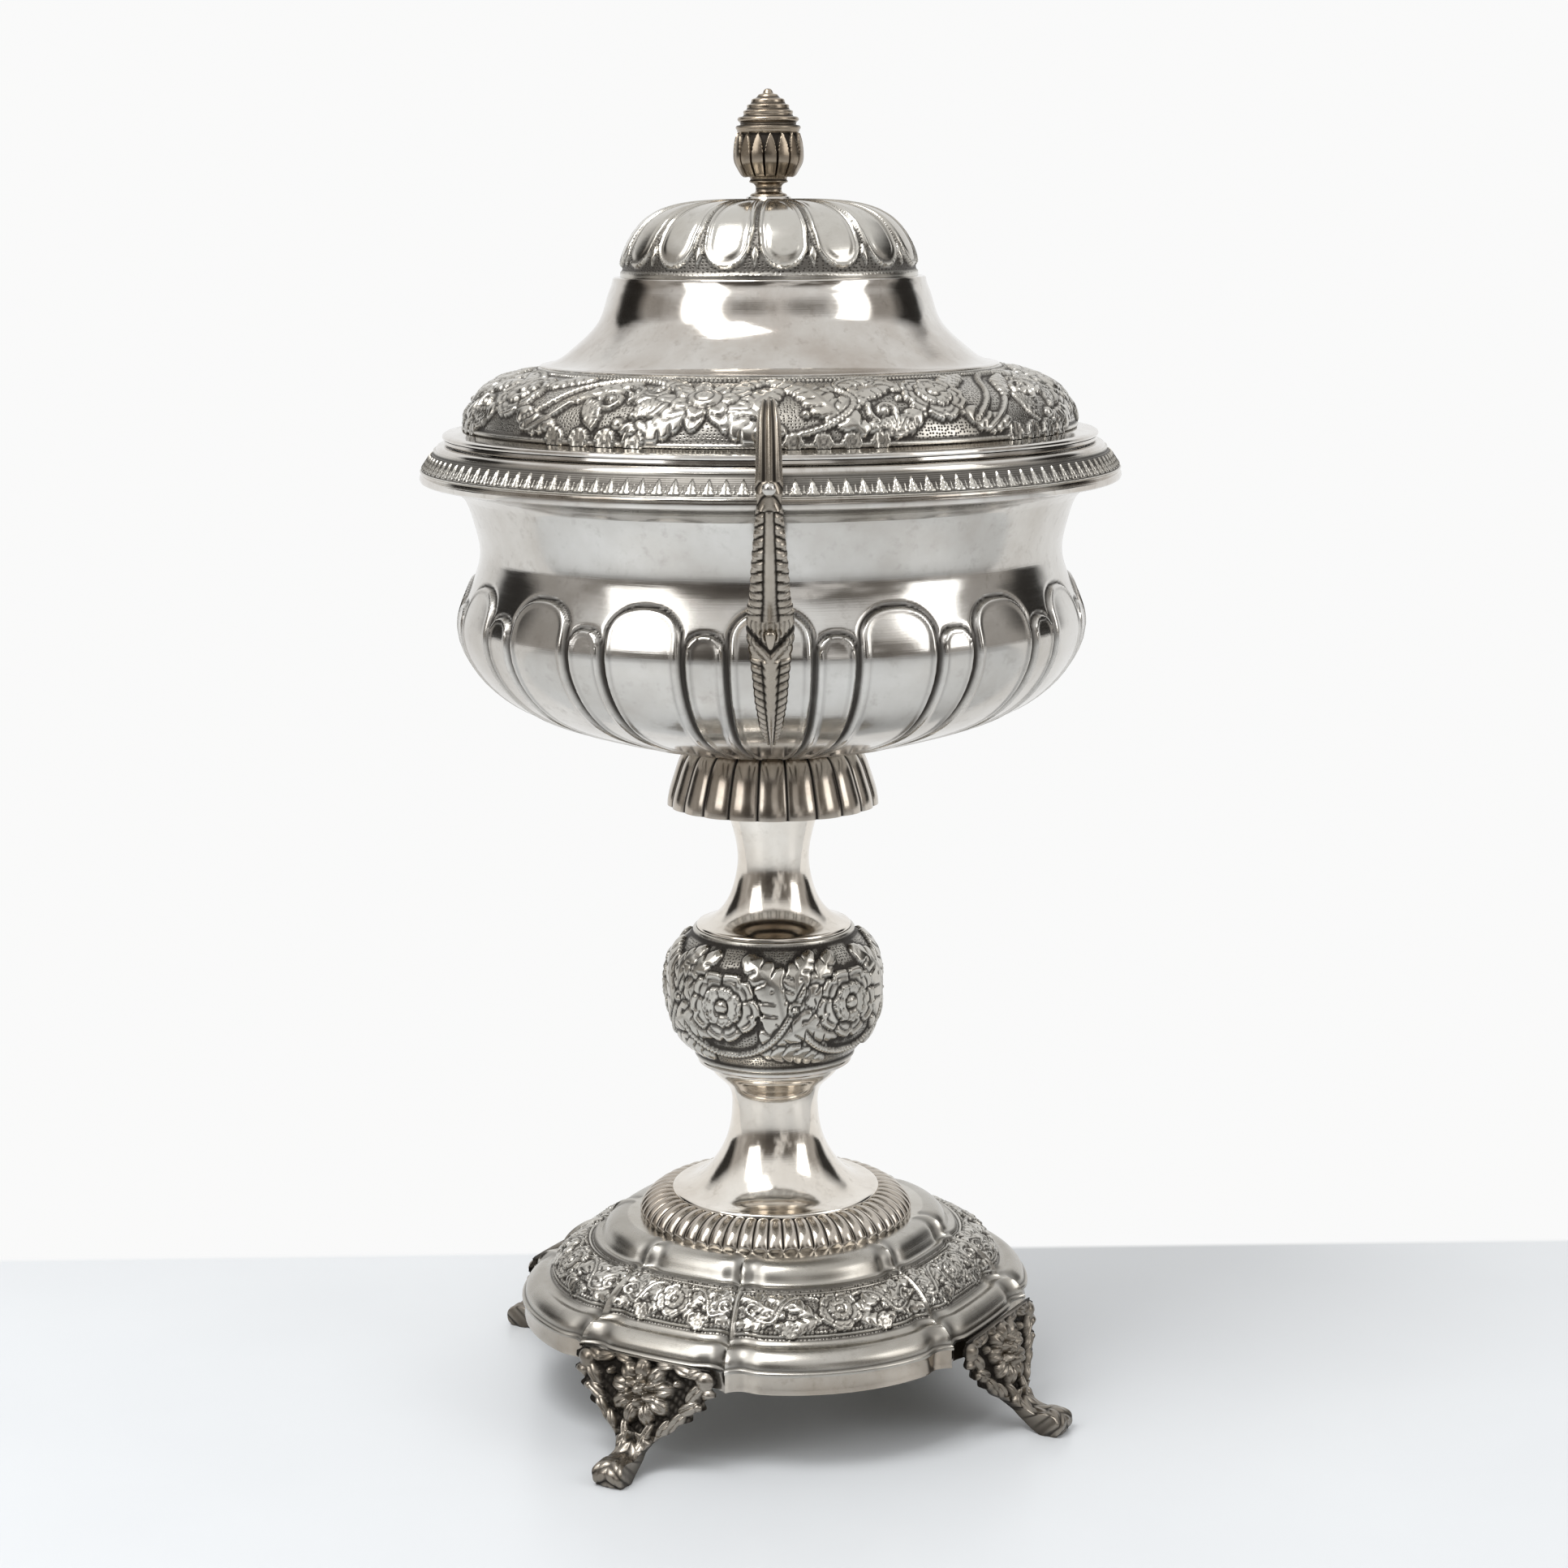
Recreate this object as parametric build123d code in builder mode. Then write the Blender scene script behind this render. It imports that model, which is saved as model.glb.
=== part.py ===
from build123d import *
import os

# Covered silver vessel: a lobed bowl with two scroll handles and a lift-off lid, on a
# spool stem with a round knop, over a stepped eight-panel base on four cast feet.
# Units are millimetres. +Z is up, the floor is z = 0, and the tie rod is the Z axis.
# The handles stand on -Y and +Y. The base is turned by base_turn about the tie rod.

# ---- sheet and clearances ----
sheet = 1.0              # raised silver sheet
base_sheet = 1.2         # heavier sheet of the base
face_gap = 0.1           # between the bowl's side and the stem's side where they bear
rod_clearance = 0.05     # radial, tie rod in the bores it turns in
rod_room = 1.0           # radial, tie rod in the holes it only passes
lid_gap = 0.3            # between the resting lid and the bowl's rim
bezel_clearance = 0.6    # radial, lid bezel inside the bowl's mouth

# ---- base ----
base_turn = 15.5         # degrees from the handle line to the middle of a bulging panel
bulge_half_angle = 26.5  # degrees from that middle to the panel's corner
corner_share = 0.965     # radius of a panel corner against the middle of its bulge
straight_share = 0.935   # the same for the middle of the straighter panel over a foot
foot_clearance = 22.0    # floor to the apron's lower edge
apron_height = 5.5
apron_inset = 0.6        # apron inside the base's own edge

base_rise = 22.5         # apron top to the flat platform
platform_radius = 44.0
shoulder_shelf = 4.5     # shoulder out to the chased band
lip_step = 1.2
torus_width = 6.3
torus_rise = 5.5
band_inset = 8.8         # lower bead line of the chased band
band_foot_rise = 7.0
band_width = 11.0
band_swell = 0.9
shoulder_drop = 6.3      # platform down to the band's upper bead line
shoulder_step = 3.8
shoulder_width = 4.2
bead_width = 2.0         # bead line over the chased band
bead_rise = 0.9
lip_lean = 1.0           # base edge leans in over the lip step

# ---- feet ----
toe_stand = 14.6         # apron out to the middle of the toe
toe_radius = 4.4
foot_plate_width = 44.0
foot_plate_depth = 4.0   # how far the plate stands out from the apron
foot_thickness = 5.0
leg_width = 9.4

# ---- stem ----
gadroon_inset = 5.8      # gadroon ring inside the platform
gadroon_height = 6.5
stem_foot_inset = 9.0    # stem foot inside the gadroon ring
lower_waist_radius = 12.1
lower_head_radius = 18.5
lower_stem_height = 37.3
knop_ring_step = 3.0     # ring beyond the lower stem's head
knop_ring_height = 1.7
knop_radius = 29.8
mouth_inset = 0.3        # knop's mouths inside its ring and the upper foot
knop_height = 37.1
upper_waist_radius = 9.9
upper_head_radius = 15.5
upper_stem_height = 50.2
calyx_radius = 29.1
calyx_top_radius = 21.5
calyx_height = 16.4
rod_radius = 4.0
washer_radius = 13.0
washer_thickness = 1.5
nut_radius = 7.5
nut_height = 6.0
rod_end = 4.0            # rod standing out below the nut

# ---- bowl ----
boss_radius = 12.0
boss_flange = 1.1
boss_spigot = 6.0
boss_cap_radius = 9.0
boss_cap_height = 3.0
floor_radius = 22.0
belly_radius = 84.8
waist_inset = 5.9        # waist inside the belly
neck_flare = 5.4         # waist out to the root of the brim
brim_width = 8.9
belly_height = 34.0      # bowl floor to the widest belly
waist_rise = 19.0        # widest belly to the waist
neck_rise = 16.5         # waist to the root of the brim
brim_slope = 2.6
lip_overhang = 1.4
lip_height = 3.2
leaf_lean = 3.9          # leaf band leans in from the lip
leaf_rise = 5.6
leaf_sheet = 0.6
seat_rise = 1.2          # rim wire above the leaf band
seat_step = 1.9          # rim wire outside the mouth
ring_gap = 0.3           # radial, lip ring outside the brim
wire_bevel = 0.6         # slope of the rim wire's two edges
brim_lap = 2.0           # seat ring folded down over the brim
cut_room = 5.0           # how far cutting shapes run past what they cut

# ---- handles ----
handle_stand = 15.9      # lip out to the outside of the scroll
handle_width = 12.4
handle_thickness = 4.4
loop_height = 18.8       # loop above the rim's leaf band
bead_radius = 1.7

# ---- lid ----
lid_brim_inset = 2.4     # lid brim inside the leaf band
lid_wire_height = 1.2
lid_brim_height = 2.4
bezel_depth = 11.5
band_slope_width = 21.4
band_step = 0.1          # lid band inside the bezel's face
lid_band_height = 16.3
lid_neck_radius = 42.0
lid_neck_height = 23.6
dome_inset = 2.1         # dome inside the top of the lid's neck
dome_height = 19.8
dome_ledge = 0.8
collar_radius = 6.2
collar_height = 1.2
finial_radius = 9.3
finial_height = 28.0
stud_radius = 2.5
stud_length = 6.5
lid_nut_radius = 5.5
lid_nut_height = 3.0

# ---- radii worked out from the tie rod ----
band_head_radius = platform_radius + shoulder_width + shoulder_shelf
band_foot_radius = band_head_radius + band_width
base_radius = band_foot_radius + band_inset
apron_radius = base_radius - apron_inset
toe_reach = apron_radius + toe_stand
gadroon_radius = platform_radius - gadroon_inset
stem_foot_radius = gadroon_radius - stem_foot_inset
knop_ring_radius = lower_head_radius + knop_ring_step
knop_mouth_radius = knop_ring_radius - mouth_inset
upper_foot_radius = knop_mouth_radius + mouth_inset
neck_radius = belly_radius - waist_inset
brim_root_radius = neck_radius + neck_flare
mouth_radius = brim_root_radius - sheet
brim_radius = brim_root_radius + brim_width
lip_radius = brim_radius + lip_overhang
leaf_top_radius = lip_radius - leaf_lean
seat_inner_radius = mouth_radius + seat_step
handle_reach = lip_radius + handle_stand
bezel_radius = mouth_radius - bezel_clearance
lid_brim_radius = leaf_top_radius - lid_brim_inset
band_bottom_radius = bezel_radius - band_step
band_top_radius = band_bottom_radius - band_slope_width
dome_radius = lid_neck_radius - dome_inset

# ---- heights worked up from the floor ----
apron_top = foot_clearance + apron_height
platform_z = apron_top + base_rise
gadroon_top = platform_z + gadroon_height
lower_stem_top = gadroon_top + lower_stem_height
knop_bottom = lower_stem_top + knop_ring_height
knop_top = knop_bottom + knop_height
upper_stem_top = knop_top + upper_stem_height
calyx_top = upper_stem_top + face_gap + sheet
bowl_floor = calyx_top + boss_flange
belly_z = bowl_floor + belly_height
neck_z = belly_z + waist_rise
brim_root_z = neck_z + neck_rise
brim_z = brim_root_z + brim_slope
lip_top = brim_z + lip_height
leaf_top = lip_top + leaf_rise
seat_z = leaf_top + seat_rise
lid_bottom = seat_z + lid_gap
wire_top = lid_bottom + lid_wire_height
brim_top = wire_top + lid_brim_height
lid_band_top = brim_top + lid_band_height
dome_bottom = lid_band_top + lid_neck_height
dome_top = dome_bottom + dome_height
finial_bottom = dome_top + collar_height

os.makedirs("parts", exist_ok=True)
pieces = []


def keep(builder, label):
    """Label a finished piece and write it to its own file."""
    builder.part.label = label
    export_step(builder.part, f"parts/{label}.step")
    pieces.append(label)


def around(radius, degrees):
    """Point at this radius, turned from the base's own zero by degrees."""
    return Vector(radius, 0).rotate(Axis.Z, base_turn - 90 + degrees)


def base_outline(radius):
    """Eight-panel outline: four bulging panels, and four straighter ones over the feet."""
    half = bulge_half_angle
    with BuildSketch(Plane.XY) as outline:
        with BuildLine():
            for quarter in range(4):
                middle = 90 * quarter
                start = around(corner_share * radius, middle - half)
                end = around(corner_share * radius, middle + half)
                after = around(corner_share * radius, middle + 90 - half)
                ThreePointArc(start, around(radius, middle), end)
                ThreePointArc(end, around(straight_share * radius, middle + 45), after)
        make_face()
    return outline.sketch


def sheet_profile(path, wall, samples=24):
    """Closed face between a path and the line parallel to it, one wall to its left."""
    def beside(edge, share):
        return edge @ share + wall * (edge % share).rotate(Axis.Z, 90)

    edges = path.edges()
    with BuildSketch(Plane.XY) as profile:
        with BuildLine():
            add(path)
            for edge in edges:
                if edge.geom_type == GeomType.LINE:
                    Line(beside(edge, 0), beside(edge, 1))
                else:
                    Spline(*[beside(edge, step / samples) for step in range(samples + 1)])
            Line(edges[0] @ 0, beside(edges[0], 0))
            Line(edges[-1] @ 1, beside(edges[-1], 1))
        make_face()
    return profile.sketch


# ---- base shell: stepped mouldings round a chased band, flat platform on top ----
band_head_z = platform_z - shoulder_drop
base_levels = [
    (base_radius, apron_top),
    (base_radius - lip_lean, apron_top + lip_step),
    (base_radius - torus_width / 2, apron_top + torus_rise / 2 + lip_step),
    (base_radius - torus_width, apron_top + torus_rise),
    (band_foot_radius, apron_top + band_foot_rise),
    ((band_foot_radius + band_head_radius) / 2 + band_swell,
     (apron_top + band_foot_rise + band_head_z) / 2 + band_swell),
    (band_head_radius, band_head_z),
    (band_head_radius - bead_width, band_head_z + bead_rise),
    (platform_radius + shoulder_width, platform_z - shoulder_step),
    (platform_radius, platform_z),
]
base_inner = [(base_levels[0][0] - 2 * base_sheet, apron_top)]
base_inner += [(r - base_sheet, z - base_sheet) for r, z in base_levels[2:]]

with BuildPart() as base_shell:
    for radius, height in base_levels:
        with BuildSketch(Plane.XY.offset(height)):
            add(base_outline(radius))
    loft(ruled=True)
    for radius, height in base_inner:
        with BuildSketch(Plane.XY.offset(height)):
            add(base_outline(radius))
    loft(ruled=True, mode=Mode.SUBTRACT)
    with BuildSketch(Plane.XY.offset(platform_z)):
        Circle(rod_radius + rod_clearance)
    extrude(amount=-2 * base_sheet, mode=Mode.SUBTRACT)
keep(base_shell, "base_shell")

# ---- apron: upright wall under the base shell ----
with BuildPart() as base_apron:
    with BuildSketch(Plane.XY.offset(foot_clearance)):
        add(base_outline(apron_radius))
        add(base_outline(apron_radius - base_sheet), mode=Mode.SUBTRACT)
    extrude(amount=apron_height)
keep(base_apron, "base_apron")

# ---- four cast feet: a flower plate against the apron, a leg and a scroll toe ----
with BuildPart() as apron_block:
    with BuildSketch(Plane.XY.offset(foot_clearance)):
        add(base_outline(apron_radius))
    extrude(amount=2 * apron_height)

plate_face = straight_share * apron_radius + foot_plate_depth
plate_back = straight_share * apron_radius - foot_thickness
foot_names = ["foot_front_left", "foot_front_right", "foot_back_right", "foot_back_left"]
for index, foot_name in enumerate(foot_names):
    turn = base_turn - 90 - 45 + 90 * index
    radial = Vector(1, 0, 0).rotate(Axis.Z, turn)
    side_plane = Plane(origin=(0, 0, 0), x_dir=radial, z_dir=radial.cross(Vector(0, 0, 1)))
    front_plane = Plane(origin=(0, 0, 0), x_dir=Vector(0, 0, 1).cross(radial), z_dir=radial)
    with BuildPart() as foot:
        with BuildSketch(side_plane):
            with BuildLine():
                Polyline(
                    (plate_back, apron_top),
                    (plate_face, apron_top),
                    (plate_face + 2.6, 0.62 * apron_top),
                    (toe_reach - 9.0, 9.0),
                    (toe_reach - 4.0, 5.4),
                    (toe_reach + 0.5, 6.4),
                )
                ThreePointArc(
                    (toe_reach + 0.5, 6.4),
                    (toe_reach + toe_radius, 3.2),
                    (toe_reach + 3.6, 0),
                )
                Polyline(
                    (toe_reach + 3.6, 0),
                    (toe_reach - 3.4, 0),
                    (toe_reach - 7.5, 3.2),
                    (toe_reach - 13.0, 7.0),
                    (plate_face - 3.6, 0.62 * apron_top),
                    (plate_back, foot_clearance - 1.5),
                    (plate_back, apron_top),
                )
            make_face()
        extrude(amount=foot_plate_width / 2, both=True)
        with BuildSketch(front_plane) as front_view:
            with BuildLine():
                Polyline(
                    (0, apron_top),
                    (foot_plate_width / 2 - 1, apron_top),
                    (foot_plate_width / 2, apron_top - 3),
                    (foot_plate_width / 2 - 2, 0.75 * apron_top),
                    (foot_plate_width / 3, 0.5 * apron_top),
                    (0.16 * foot_plate_width, 0.35 * apron_top),
                    (leg_width / 2, 0.22 * apron_top),
                    (leg_width / 2, 0),
                    (0, 0),
                )
                mirror(about=Plane.YZ)
            make_face()
        extrude(amount=2 * toe_reach, mode=Mode.INTERSECT)
        add(apron_block.part, mode=Mode.SUBTRACT)
    keep(foot, foot_name)

# ---- gadroon ring: rounded collar between the base and the stem ----
with BuildLine() as gadroon_ring_path:
    Line((stem_foot_radius - 3, gadroon_top), (stem_foot_radius, gadroon_top))
    Spline(
        (stem_foot_radius, gadroon_top),
        (stem_foot_radius + 0.62 * (gadroon_radius - stem_foot_radius),
         gadroon_top - 0.24 * gadroon_height),
        (gadroon_radius, platform_z),
        tangents=((1, 0), (0, -1)),
    )
with BuildPart() as gadroon_ring:
    with BuildSketch(Plane.XZ):
        add(sheet_profile(gadroon_ring_path.line, -sheet))
    revolve(axis=Axis.Z)
keep(gadroon_ring, "gadroon_ring")

# ---- lower stem: spool with a wide foot disc and a small head ----
with BuildLine() as lower_stem_path:
    Spline(
        (stem_foot_radius - 1.5, gadroon_top + sheet),
        (lower_waist_radius + 6.6, gadroon_top + 6.2),
        (lower_waist_radius + 1.4, gadroon_top + 0.41 * lower_stem_height),
        (lower_waist_radius, gadroon_top + 0.64 * lower_stem_height),
        (lower_waist_radius + 0.9, gadroon_top + 0.80 * lower_stem_height),
        (lower_head_radius, lower_stem_top),
        tangents=((-1, 0.2), (0, 1)),
    )
with BuildPart() as lower_stem:
    with BuildSketch(Plane.XZ):
        add(sheet_profile(lower_stem_path.line, sheet))
        with Locations((stem_foot_radius, gadroon_top)):
            Rectangle(4 * sheet, sheet, align=(Align.MAX, Align.MIN))
        with Locations((rod_radius + rod_room, lower_stem_top)):
            Rectangle(lower_head_radius - rod_radius - rod_room - 0.4 * sheet, sheet,
                      align=(Align.MIN, Align.MAX))
    revolve(axis=Axis.Z)
keep(lower_stem, "lower_stem")

# ---- knop: hollow ball between two plain rings ----
with BuildPart() as knop_ring:
    with BuildSketch(Plane.XZ):
        with Locations((0, lower_stem_top)):
            Rectangle(knop_ring_radius, knop_ring_height, align=(Align.MIN, Align.MIN))
            Rectangle(rod_radius + rod_room, knop_ring_height, align=(Align.MIN, Align.MIN),
                      mode=Mode.SUBTRACT)
    revolve(axis=Axis.Z)
keep(knop_ring, "knop_ring")

with BuildLine() as knop_path:
    Spline(
        (knop_mouth_radius, knop_bottom),
        (knop_radius - 0.9, knop_bottom + 0.30 * knop_height),
        (knop_radius, knop_bottom + 0.53 * knop_height),
        (knop_radius - 1.2, knop_bottom + 0.80 * knop_height),
        (knop_mouth_radius, knop_top),
    )
with BuildPart() as knop:
    with BuildSketch(Plane.XZ):
        add(sheet_profile(knop_path.line, sheet))
    revolve(axis=Axis.Z)
keep(knop, "knop")

# ---- upper stem: spool that carries the bowl ----
with BuildLine() as upper_stem_path:
    Spline(
        (upper_foot_radius - 0.8, knop_top + sheet),
        (upper_waist_radius + 4.6, knop_top + 4.8),
        (upper_waist_radius + 0.6, knop_top + 0.28 * upper_stem_height),
        (upper_waist_radius, knop_top + 0.39 * upper_stem_height),
        (upper_waist_radius + 1.6, knop_top + 0.57 * upper_stem_height),
        (upper_head_radius, upper_stem_top),
        tangents=((-1, 0.2), (0, 1)),
    )
with BuildPart() as upper_stem:
    with BuildSketch(Plane.XZ):
        add(sheet_profile(upper_stem_path.line, sheet))
        with Locations((upper_foot_radius, knop_top)):
            Rectangle(4 * sheet, sheet, align=(Align.MAX, Align.MIN))
        with Locations((rod_radius + rod_clearance, upper_stem_top)):
            Rectangle(upper_head_radius - rod_radius - rod_clearance - 0.4 * sheet, sheet,
                      align=(Align.MIN, Align.MAX))
    revolve(axis=Axis.Z)
keep(upper_stem, "upper_stem")

# ---- tie rod with its washer and nut under the base ----
washer_z = platform_z - base_sheet - washer_thickness
nut_z = washer_z - nut_height
rod_top = bowl_floor + sheet + boss_cap_height / 2

with BuildPart() as tie_washer:
    with BuildSketch(Plane.XY.offset(washer_z)):
        Circle(washer_radius)
        Circle(rod_radius + rod_clearance, mode=Mode.SUBTRACT)
    extrude(amount=washer_thickness)
keep(tie_washer, "tie_washer")

with BuildPart() as tie_nut:
    with BuildSketch(Plane.XY.offset(nut_z)):
        RegularPolygon(nut_radius, 6)
        Circle(rod_radius + rod_clearance, mode=Mode.SUBTRACT)
    extrude(amount=nut_height)
keep(tie_nut, "tie_nut")

with BuildPart() as tie_rod:
    with BuildSketch(Plane.XY.offset(nut_z - rod_end)):
        Circle(rod_radius)
    extrude(amount=rod_top - nut_z + rod_end)
    chamfer(tie_rod.edges().group_by(Axis.Z)[0], 0.8)
keep(tie_rod, "tie_rod")

# ---- calyx: fluted cup standing upside down under the bowl ----
with BuildLine() as calyx_path:
    Line((rod_radius, calyx_top), (calyx_top_radius, calyx_top))
    Spline(
        (calyx_top_radius, calyx_top),
        (calyx_radius - 1.7, calyx_top - 0.55 * calyx_height),
        (calyx_radius, calyx_top - calyx_height),
        tangents=((1, -0.25), (0, -1)),
    )
with BuildPart() as calyx:
    with BuildSketch(Plane.XZ):
        add(sheet_profile(calyx_path.line, -sheet))
    revolve(axis=Axis.Z)
keep(calyx, "calyx")

# ---- boss: riveted through the bowl's floor, takes the rod's upper end ----
with BuildPart() as bowl_boss:
    with BuildSketch(Plane.XZ):
        with BuildLine():
            cap_z = bowl_floor + sheet
            Polyline(
                (0, rod_top),
                (rod_radius, rod_top),
                (rod_radius, calyx_top),
                (boss_radius, calyx_top),
                (boss_radius, bowl_floor),
                (boss_spigot, bowl_floor),
                (boss_spigot, cap_z),
                (boss_cap_radius, cap_z),
            )
            Spline(
                (boss_cap_radius, cap_z),
                (0, cap_z + boss_cap_height),
                tangents=((-0.3, 1), (-1, 0)),
            )
            Line((0, cap_z + boss_cap_height), (0, rod_top))
        make_face()
    revolve(axis=Axis.Z)
keep(bowl_boss, "bowl_boss")

# ---- bowl: raised sheet from the floor up to the waist, and its neck from there to the brim ----
belly_curve = [
    (floor_radius, bowl_floor),
    (0.62 * belly_radius, bowl_floor + 0.17 * belly_height),
    (0.83 * belly_radius, bowl_floor + 0.38 * belly_height),
    (0.955 * belly_radius, bowl_floor + 0.67 * belly_height),
    (belly_radius, belly_z),
    (neck_radius + 2.9, belly_z + 0.5 * (neck_z - belly_z)),
    (neck_radius, neck_z),
]
belly_ends = ((1, 0), (0, 1))
neck_curve = [
    (neck_radius, neck_z + face_gap),
    (neck_radius + 1.5, neck_z + 0.5 * (brim_root_z - neck_z)),
    (brim_root_radius, brim_root_z),
    (brim_radius, brim_z),
]
neck_ends = ((0, 1), (1, 0.25))
with BuildLine() as bowl_body_path:
    Line((boss_spigot, bowl_floor), (floor_radius, bowl_floor))
    Spline(*belly_curve, tangents=belly_ends)
with BuildPart() as bowl_body:
    with BuildSketch(Plane.XZ):
        add(sheet_profile(bowl_body_path.line, sheet))
    revolve(axis=Axis.Z)
keep(bowl_body, "bowl_body")

with BuildLine() as bowl_neck_path:
    Spline(*neck_curve, tangents=neck_ends)
with BuildPart() as bowl_neck:
    with BuildSketch(Plane.XZ):
        add(sheet_profile(bowl_neck_path.line, sheet))
    revolve(axis=Axis.Z)
keep(bowl_neck, "bowl_neck")

# ---- rim: cast seat ring on the brim, with its lip, leaf band and bead wire ----
with BuildPart() as bowl_solid:
    with BuildSketch(Plane.XZ):
        with BuildLine():
            Spline(*belly_curve, tangents=belly_ends)
            Line(belly_curve[-1], neck_curve[0])
            Spline(*neck_curve, tangents=neck_ends)
            Polyline(
                (brim_radius, brim_z),
                (lip_radius, brim_z),
                (lip_radius, lip_top),
                (leaf_top_radius, leaf_top),
                (leaf_top_radius - wire_bevel, seat_z),
                (0, seat_z),
                (0, bowl_floor),
                (floor_radius, bowl_floor),
            )
        make_face()
    revolve(axis=Axis.Z)

with BuildPart() as rim_seat:
    with BuildSketch(Plane.XZ):
        with BuildLine():
            Polyline(
                (mouth_radius, brim_root_z - brim_lap),
                (mouth_radius, leaf_top),
                (leaf_top_radius - leaf_sheet, leaf_top),
                (lip_radius - leaf_sheet, lip_top),
                (brim_radius, lip_top),
                (brim_radius, brim_z - brim_lap),
                (brim_radius - sheet, brim_z - brim_lap),
                (brim_radius - sheet, lip_top),
                (leaf_top_radius - leaf_sheet - sheet, leaf_top - sheet),
                (mouth_radius + sheet, leaf_top - sheet),
                (mouth_radius + sheet, brim_root_z - brim_lap),
                close=True,
            )
        make_face()
    revolve(axis=Axis.Z)
    with BuildSketch(Plane.XZ):
        with BuildLine():
            Line((boss_spigot, bowl_floor), (floor_radius, bowl_floor))
            Spline(*belly_curve, tangents=belly_ends)
            Line(belly_curve[-1], neck_curve[0])
            Spline(*neck_curve, tangents=neck_ends)
            Polyline(
                (brim_radius, brim_z),
                (brim_radius + cut_room, brim_z),
                (brim_radius + cut_room, bowl_floor - cut_room),
                (boss_spigot, bowl_floor - cut_room),
                (boss_spigot, bowl_floor),
            )
        make_face()
    revolve(axis=Axis.Z, mode=Mode.SUBTRACT)
    add(bowl_neck.part, mode=Mode.SUBTRACT)
keep(rim_seat, "rim_seat")

with BuildPart() as rim_lip:
    with BuildSketch(Plane.XZ):
        with Locations((brim_radius + ring_gap, brim_z)):
            Rectangle(lip_radius - brim_radius - ring_gap, lip_height, align=(Align.MIN, Align.MIN))
    revolve(axis=Axis.Z)
keep(rim_lip, "rim_lip")

with BuildPart() as leaf_band:
    with BuildSketch(Plane.XZ):
        with BuildLine():
            Polyline(
                (lip_radius - leaf_sheet, lip_top),
                (lip_radius, lip_top),
                (leaf_top_radius, leaf_top),
                (leaf_top_radius - leaf_sheet, leaf_top),
                close=True,
            )
        make_face()
    revolve(axis=Axis.Z)
keep(leaf_band, "leaf_band")

with BuildPart() as rim_wire:
    with BuildSketch(Plane.XZ):
        with BuildLine():
            Polyline(
                (seat_inner_radius, leaf_top),
                (seat_inner_radius + wire_bevel, seat_z),
                (leaf_top_radius - leaf_sheet - wire_bevel, seat_z),
                (leaf_top_radius - leaf_sheet, leaf_top),
                close=True,
            )
        make_face()
    revolve(axis=Axis.Z)
keep(rim_wire, "rim_wire")

# ---- two scroll handles: leaf on the belly, swell, tall loop back to the rim ----
loop_top = leaf_top + loop_height
bead_z = leaf_top - 2.0
leaf_foot = (0.68 * belly_radius, bowl_floor + 0.18 * belly_height)
with BuildLine() as handle_path:
    Spline(
        leaf_foot,
        (0.83 * belly_radius + 1.1, bowl_floor + 0.33 * belly_height),
        (0.955 * belly_radius + 3.0, bowl_floor + 0.62 * belly_height),
        (belly_radius + 4.8, belly_z - 1),
        (belly_radius + 7.8, belly_z + 8),
        (handle_reach - 8.5, brim_root_z - 18),
        (handle_reach - 1.8, brim_root_z - 3),
        (handle_reach, bead_z),
        (handle_reach - 3.2, loop_top - 6.5),
        (handle_reach - 10.5, loop_top),
        (leaf_top_radius + 2.4, loop_top - 4.2),
        (leaf_top_radius - 0.2, leaf_top + 5),
        (leaf_top_radius - 0.4, lip_top + 0.5),
    )
for side_name, facing in (("front", -1), ("back", 1)):
    with BuildPart() as handle:
        with BuildSketch(Plane(origin=(0, 0, 0), x_dir=(0, facing, 0), z_dir=(facing, 0, 0))):
            add(sheet_profile(handle_path.line, handle_thickness, samples=36))
        extrude(amount=handle_width / 2, both=True)
        with BuildSketch(Plane.XZ):
            with BuildLine():
                Spline(
                    (0, leaf_foot[1] - 1),
                    (0.26 * handle_width, leaf_foot[1] + 2.5),
                    (0.40 * handle_width, belly_z - 3),
                    (0.50 * handle_width, belly_z + 15),
                    (0.38 * handle_width, brim_root_z - 6),
                    (0.33 * handle_width, lip_top + 1),
                    (0.25 * handle_width, leaf_top + 6),
                    (0, loop_top + 0.6),
                )
                mirror(about=Plane.YZ)
            make_face()
        extrude(amount=handle_reach + cut_room, both=True, mode=Mode.INTERSECT)
        add(bowl_solid.part, mode=Mode.SUBTRACT)
    keep(handle, f"handle_{side_name}")
    with BuildPart() as handle_bead:
        with Locations((0, facing * (handle_reach + 0.4), bead_z)):
            Sphere(bead_radius)
        add(handle.part, mode=Mode.SUBTRACT)
    keep(handle_bead, f"handle_bead_{side_name}")

# ---- lid: bezel, wire, brim, chased band, flared neck, lobed dome ----
with BuildPart() as lid_bezel:
    with BuildSketch(Plane.XY.offset(wire_top)):
        Circle(bezel_radius)
        Circle(bezel_radius - sheet, mode=Mode.SUBTRACT)
    extrude(amount=-bezel_depth)
keep(lid_bezel, "lid_bezel")

with BuildPart() as lid_wire:
    with BuildSketch(Plane.XZ):
        with Locations((lid_brim_radius - 0.3, lid_bottom)):
            Rectangle(2.2, lid_wire_height, align=(Align.MAX, Align.MIN))
    revolve(axis=Axis.Z)
keep(lid_wire, "lid_wire")

with BuildPart() as lid_brim:
    with BuildSketch(Plane.XZ):
        with BuildLine():
            Polyline(
                (bezel_radius - sheet, wire_top),
                (lid_brim_radius - 0.6, wire_top),
                (lid_brim_radius, wire_top + 0.6),
                (lid_brim_radius - 0.5, wire_top + 1.5),
                (band_bottom_radius, brim_top),
                (bezel_radius - sheet, brim_top),
                close=True,
            )
        make_face()
    revolve(axis=Axis.Z)
keep(lid_brim, "lid_brim")

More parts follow.
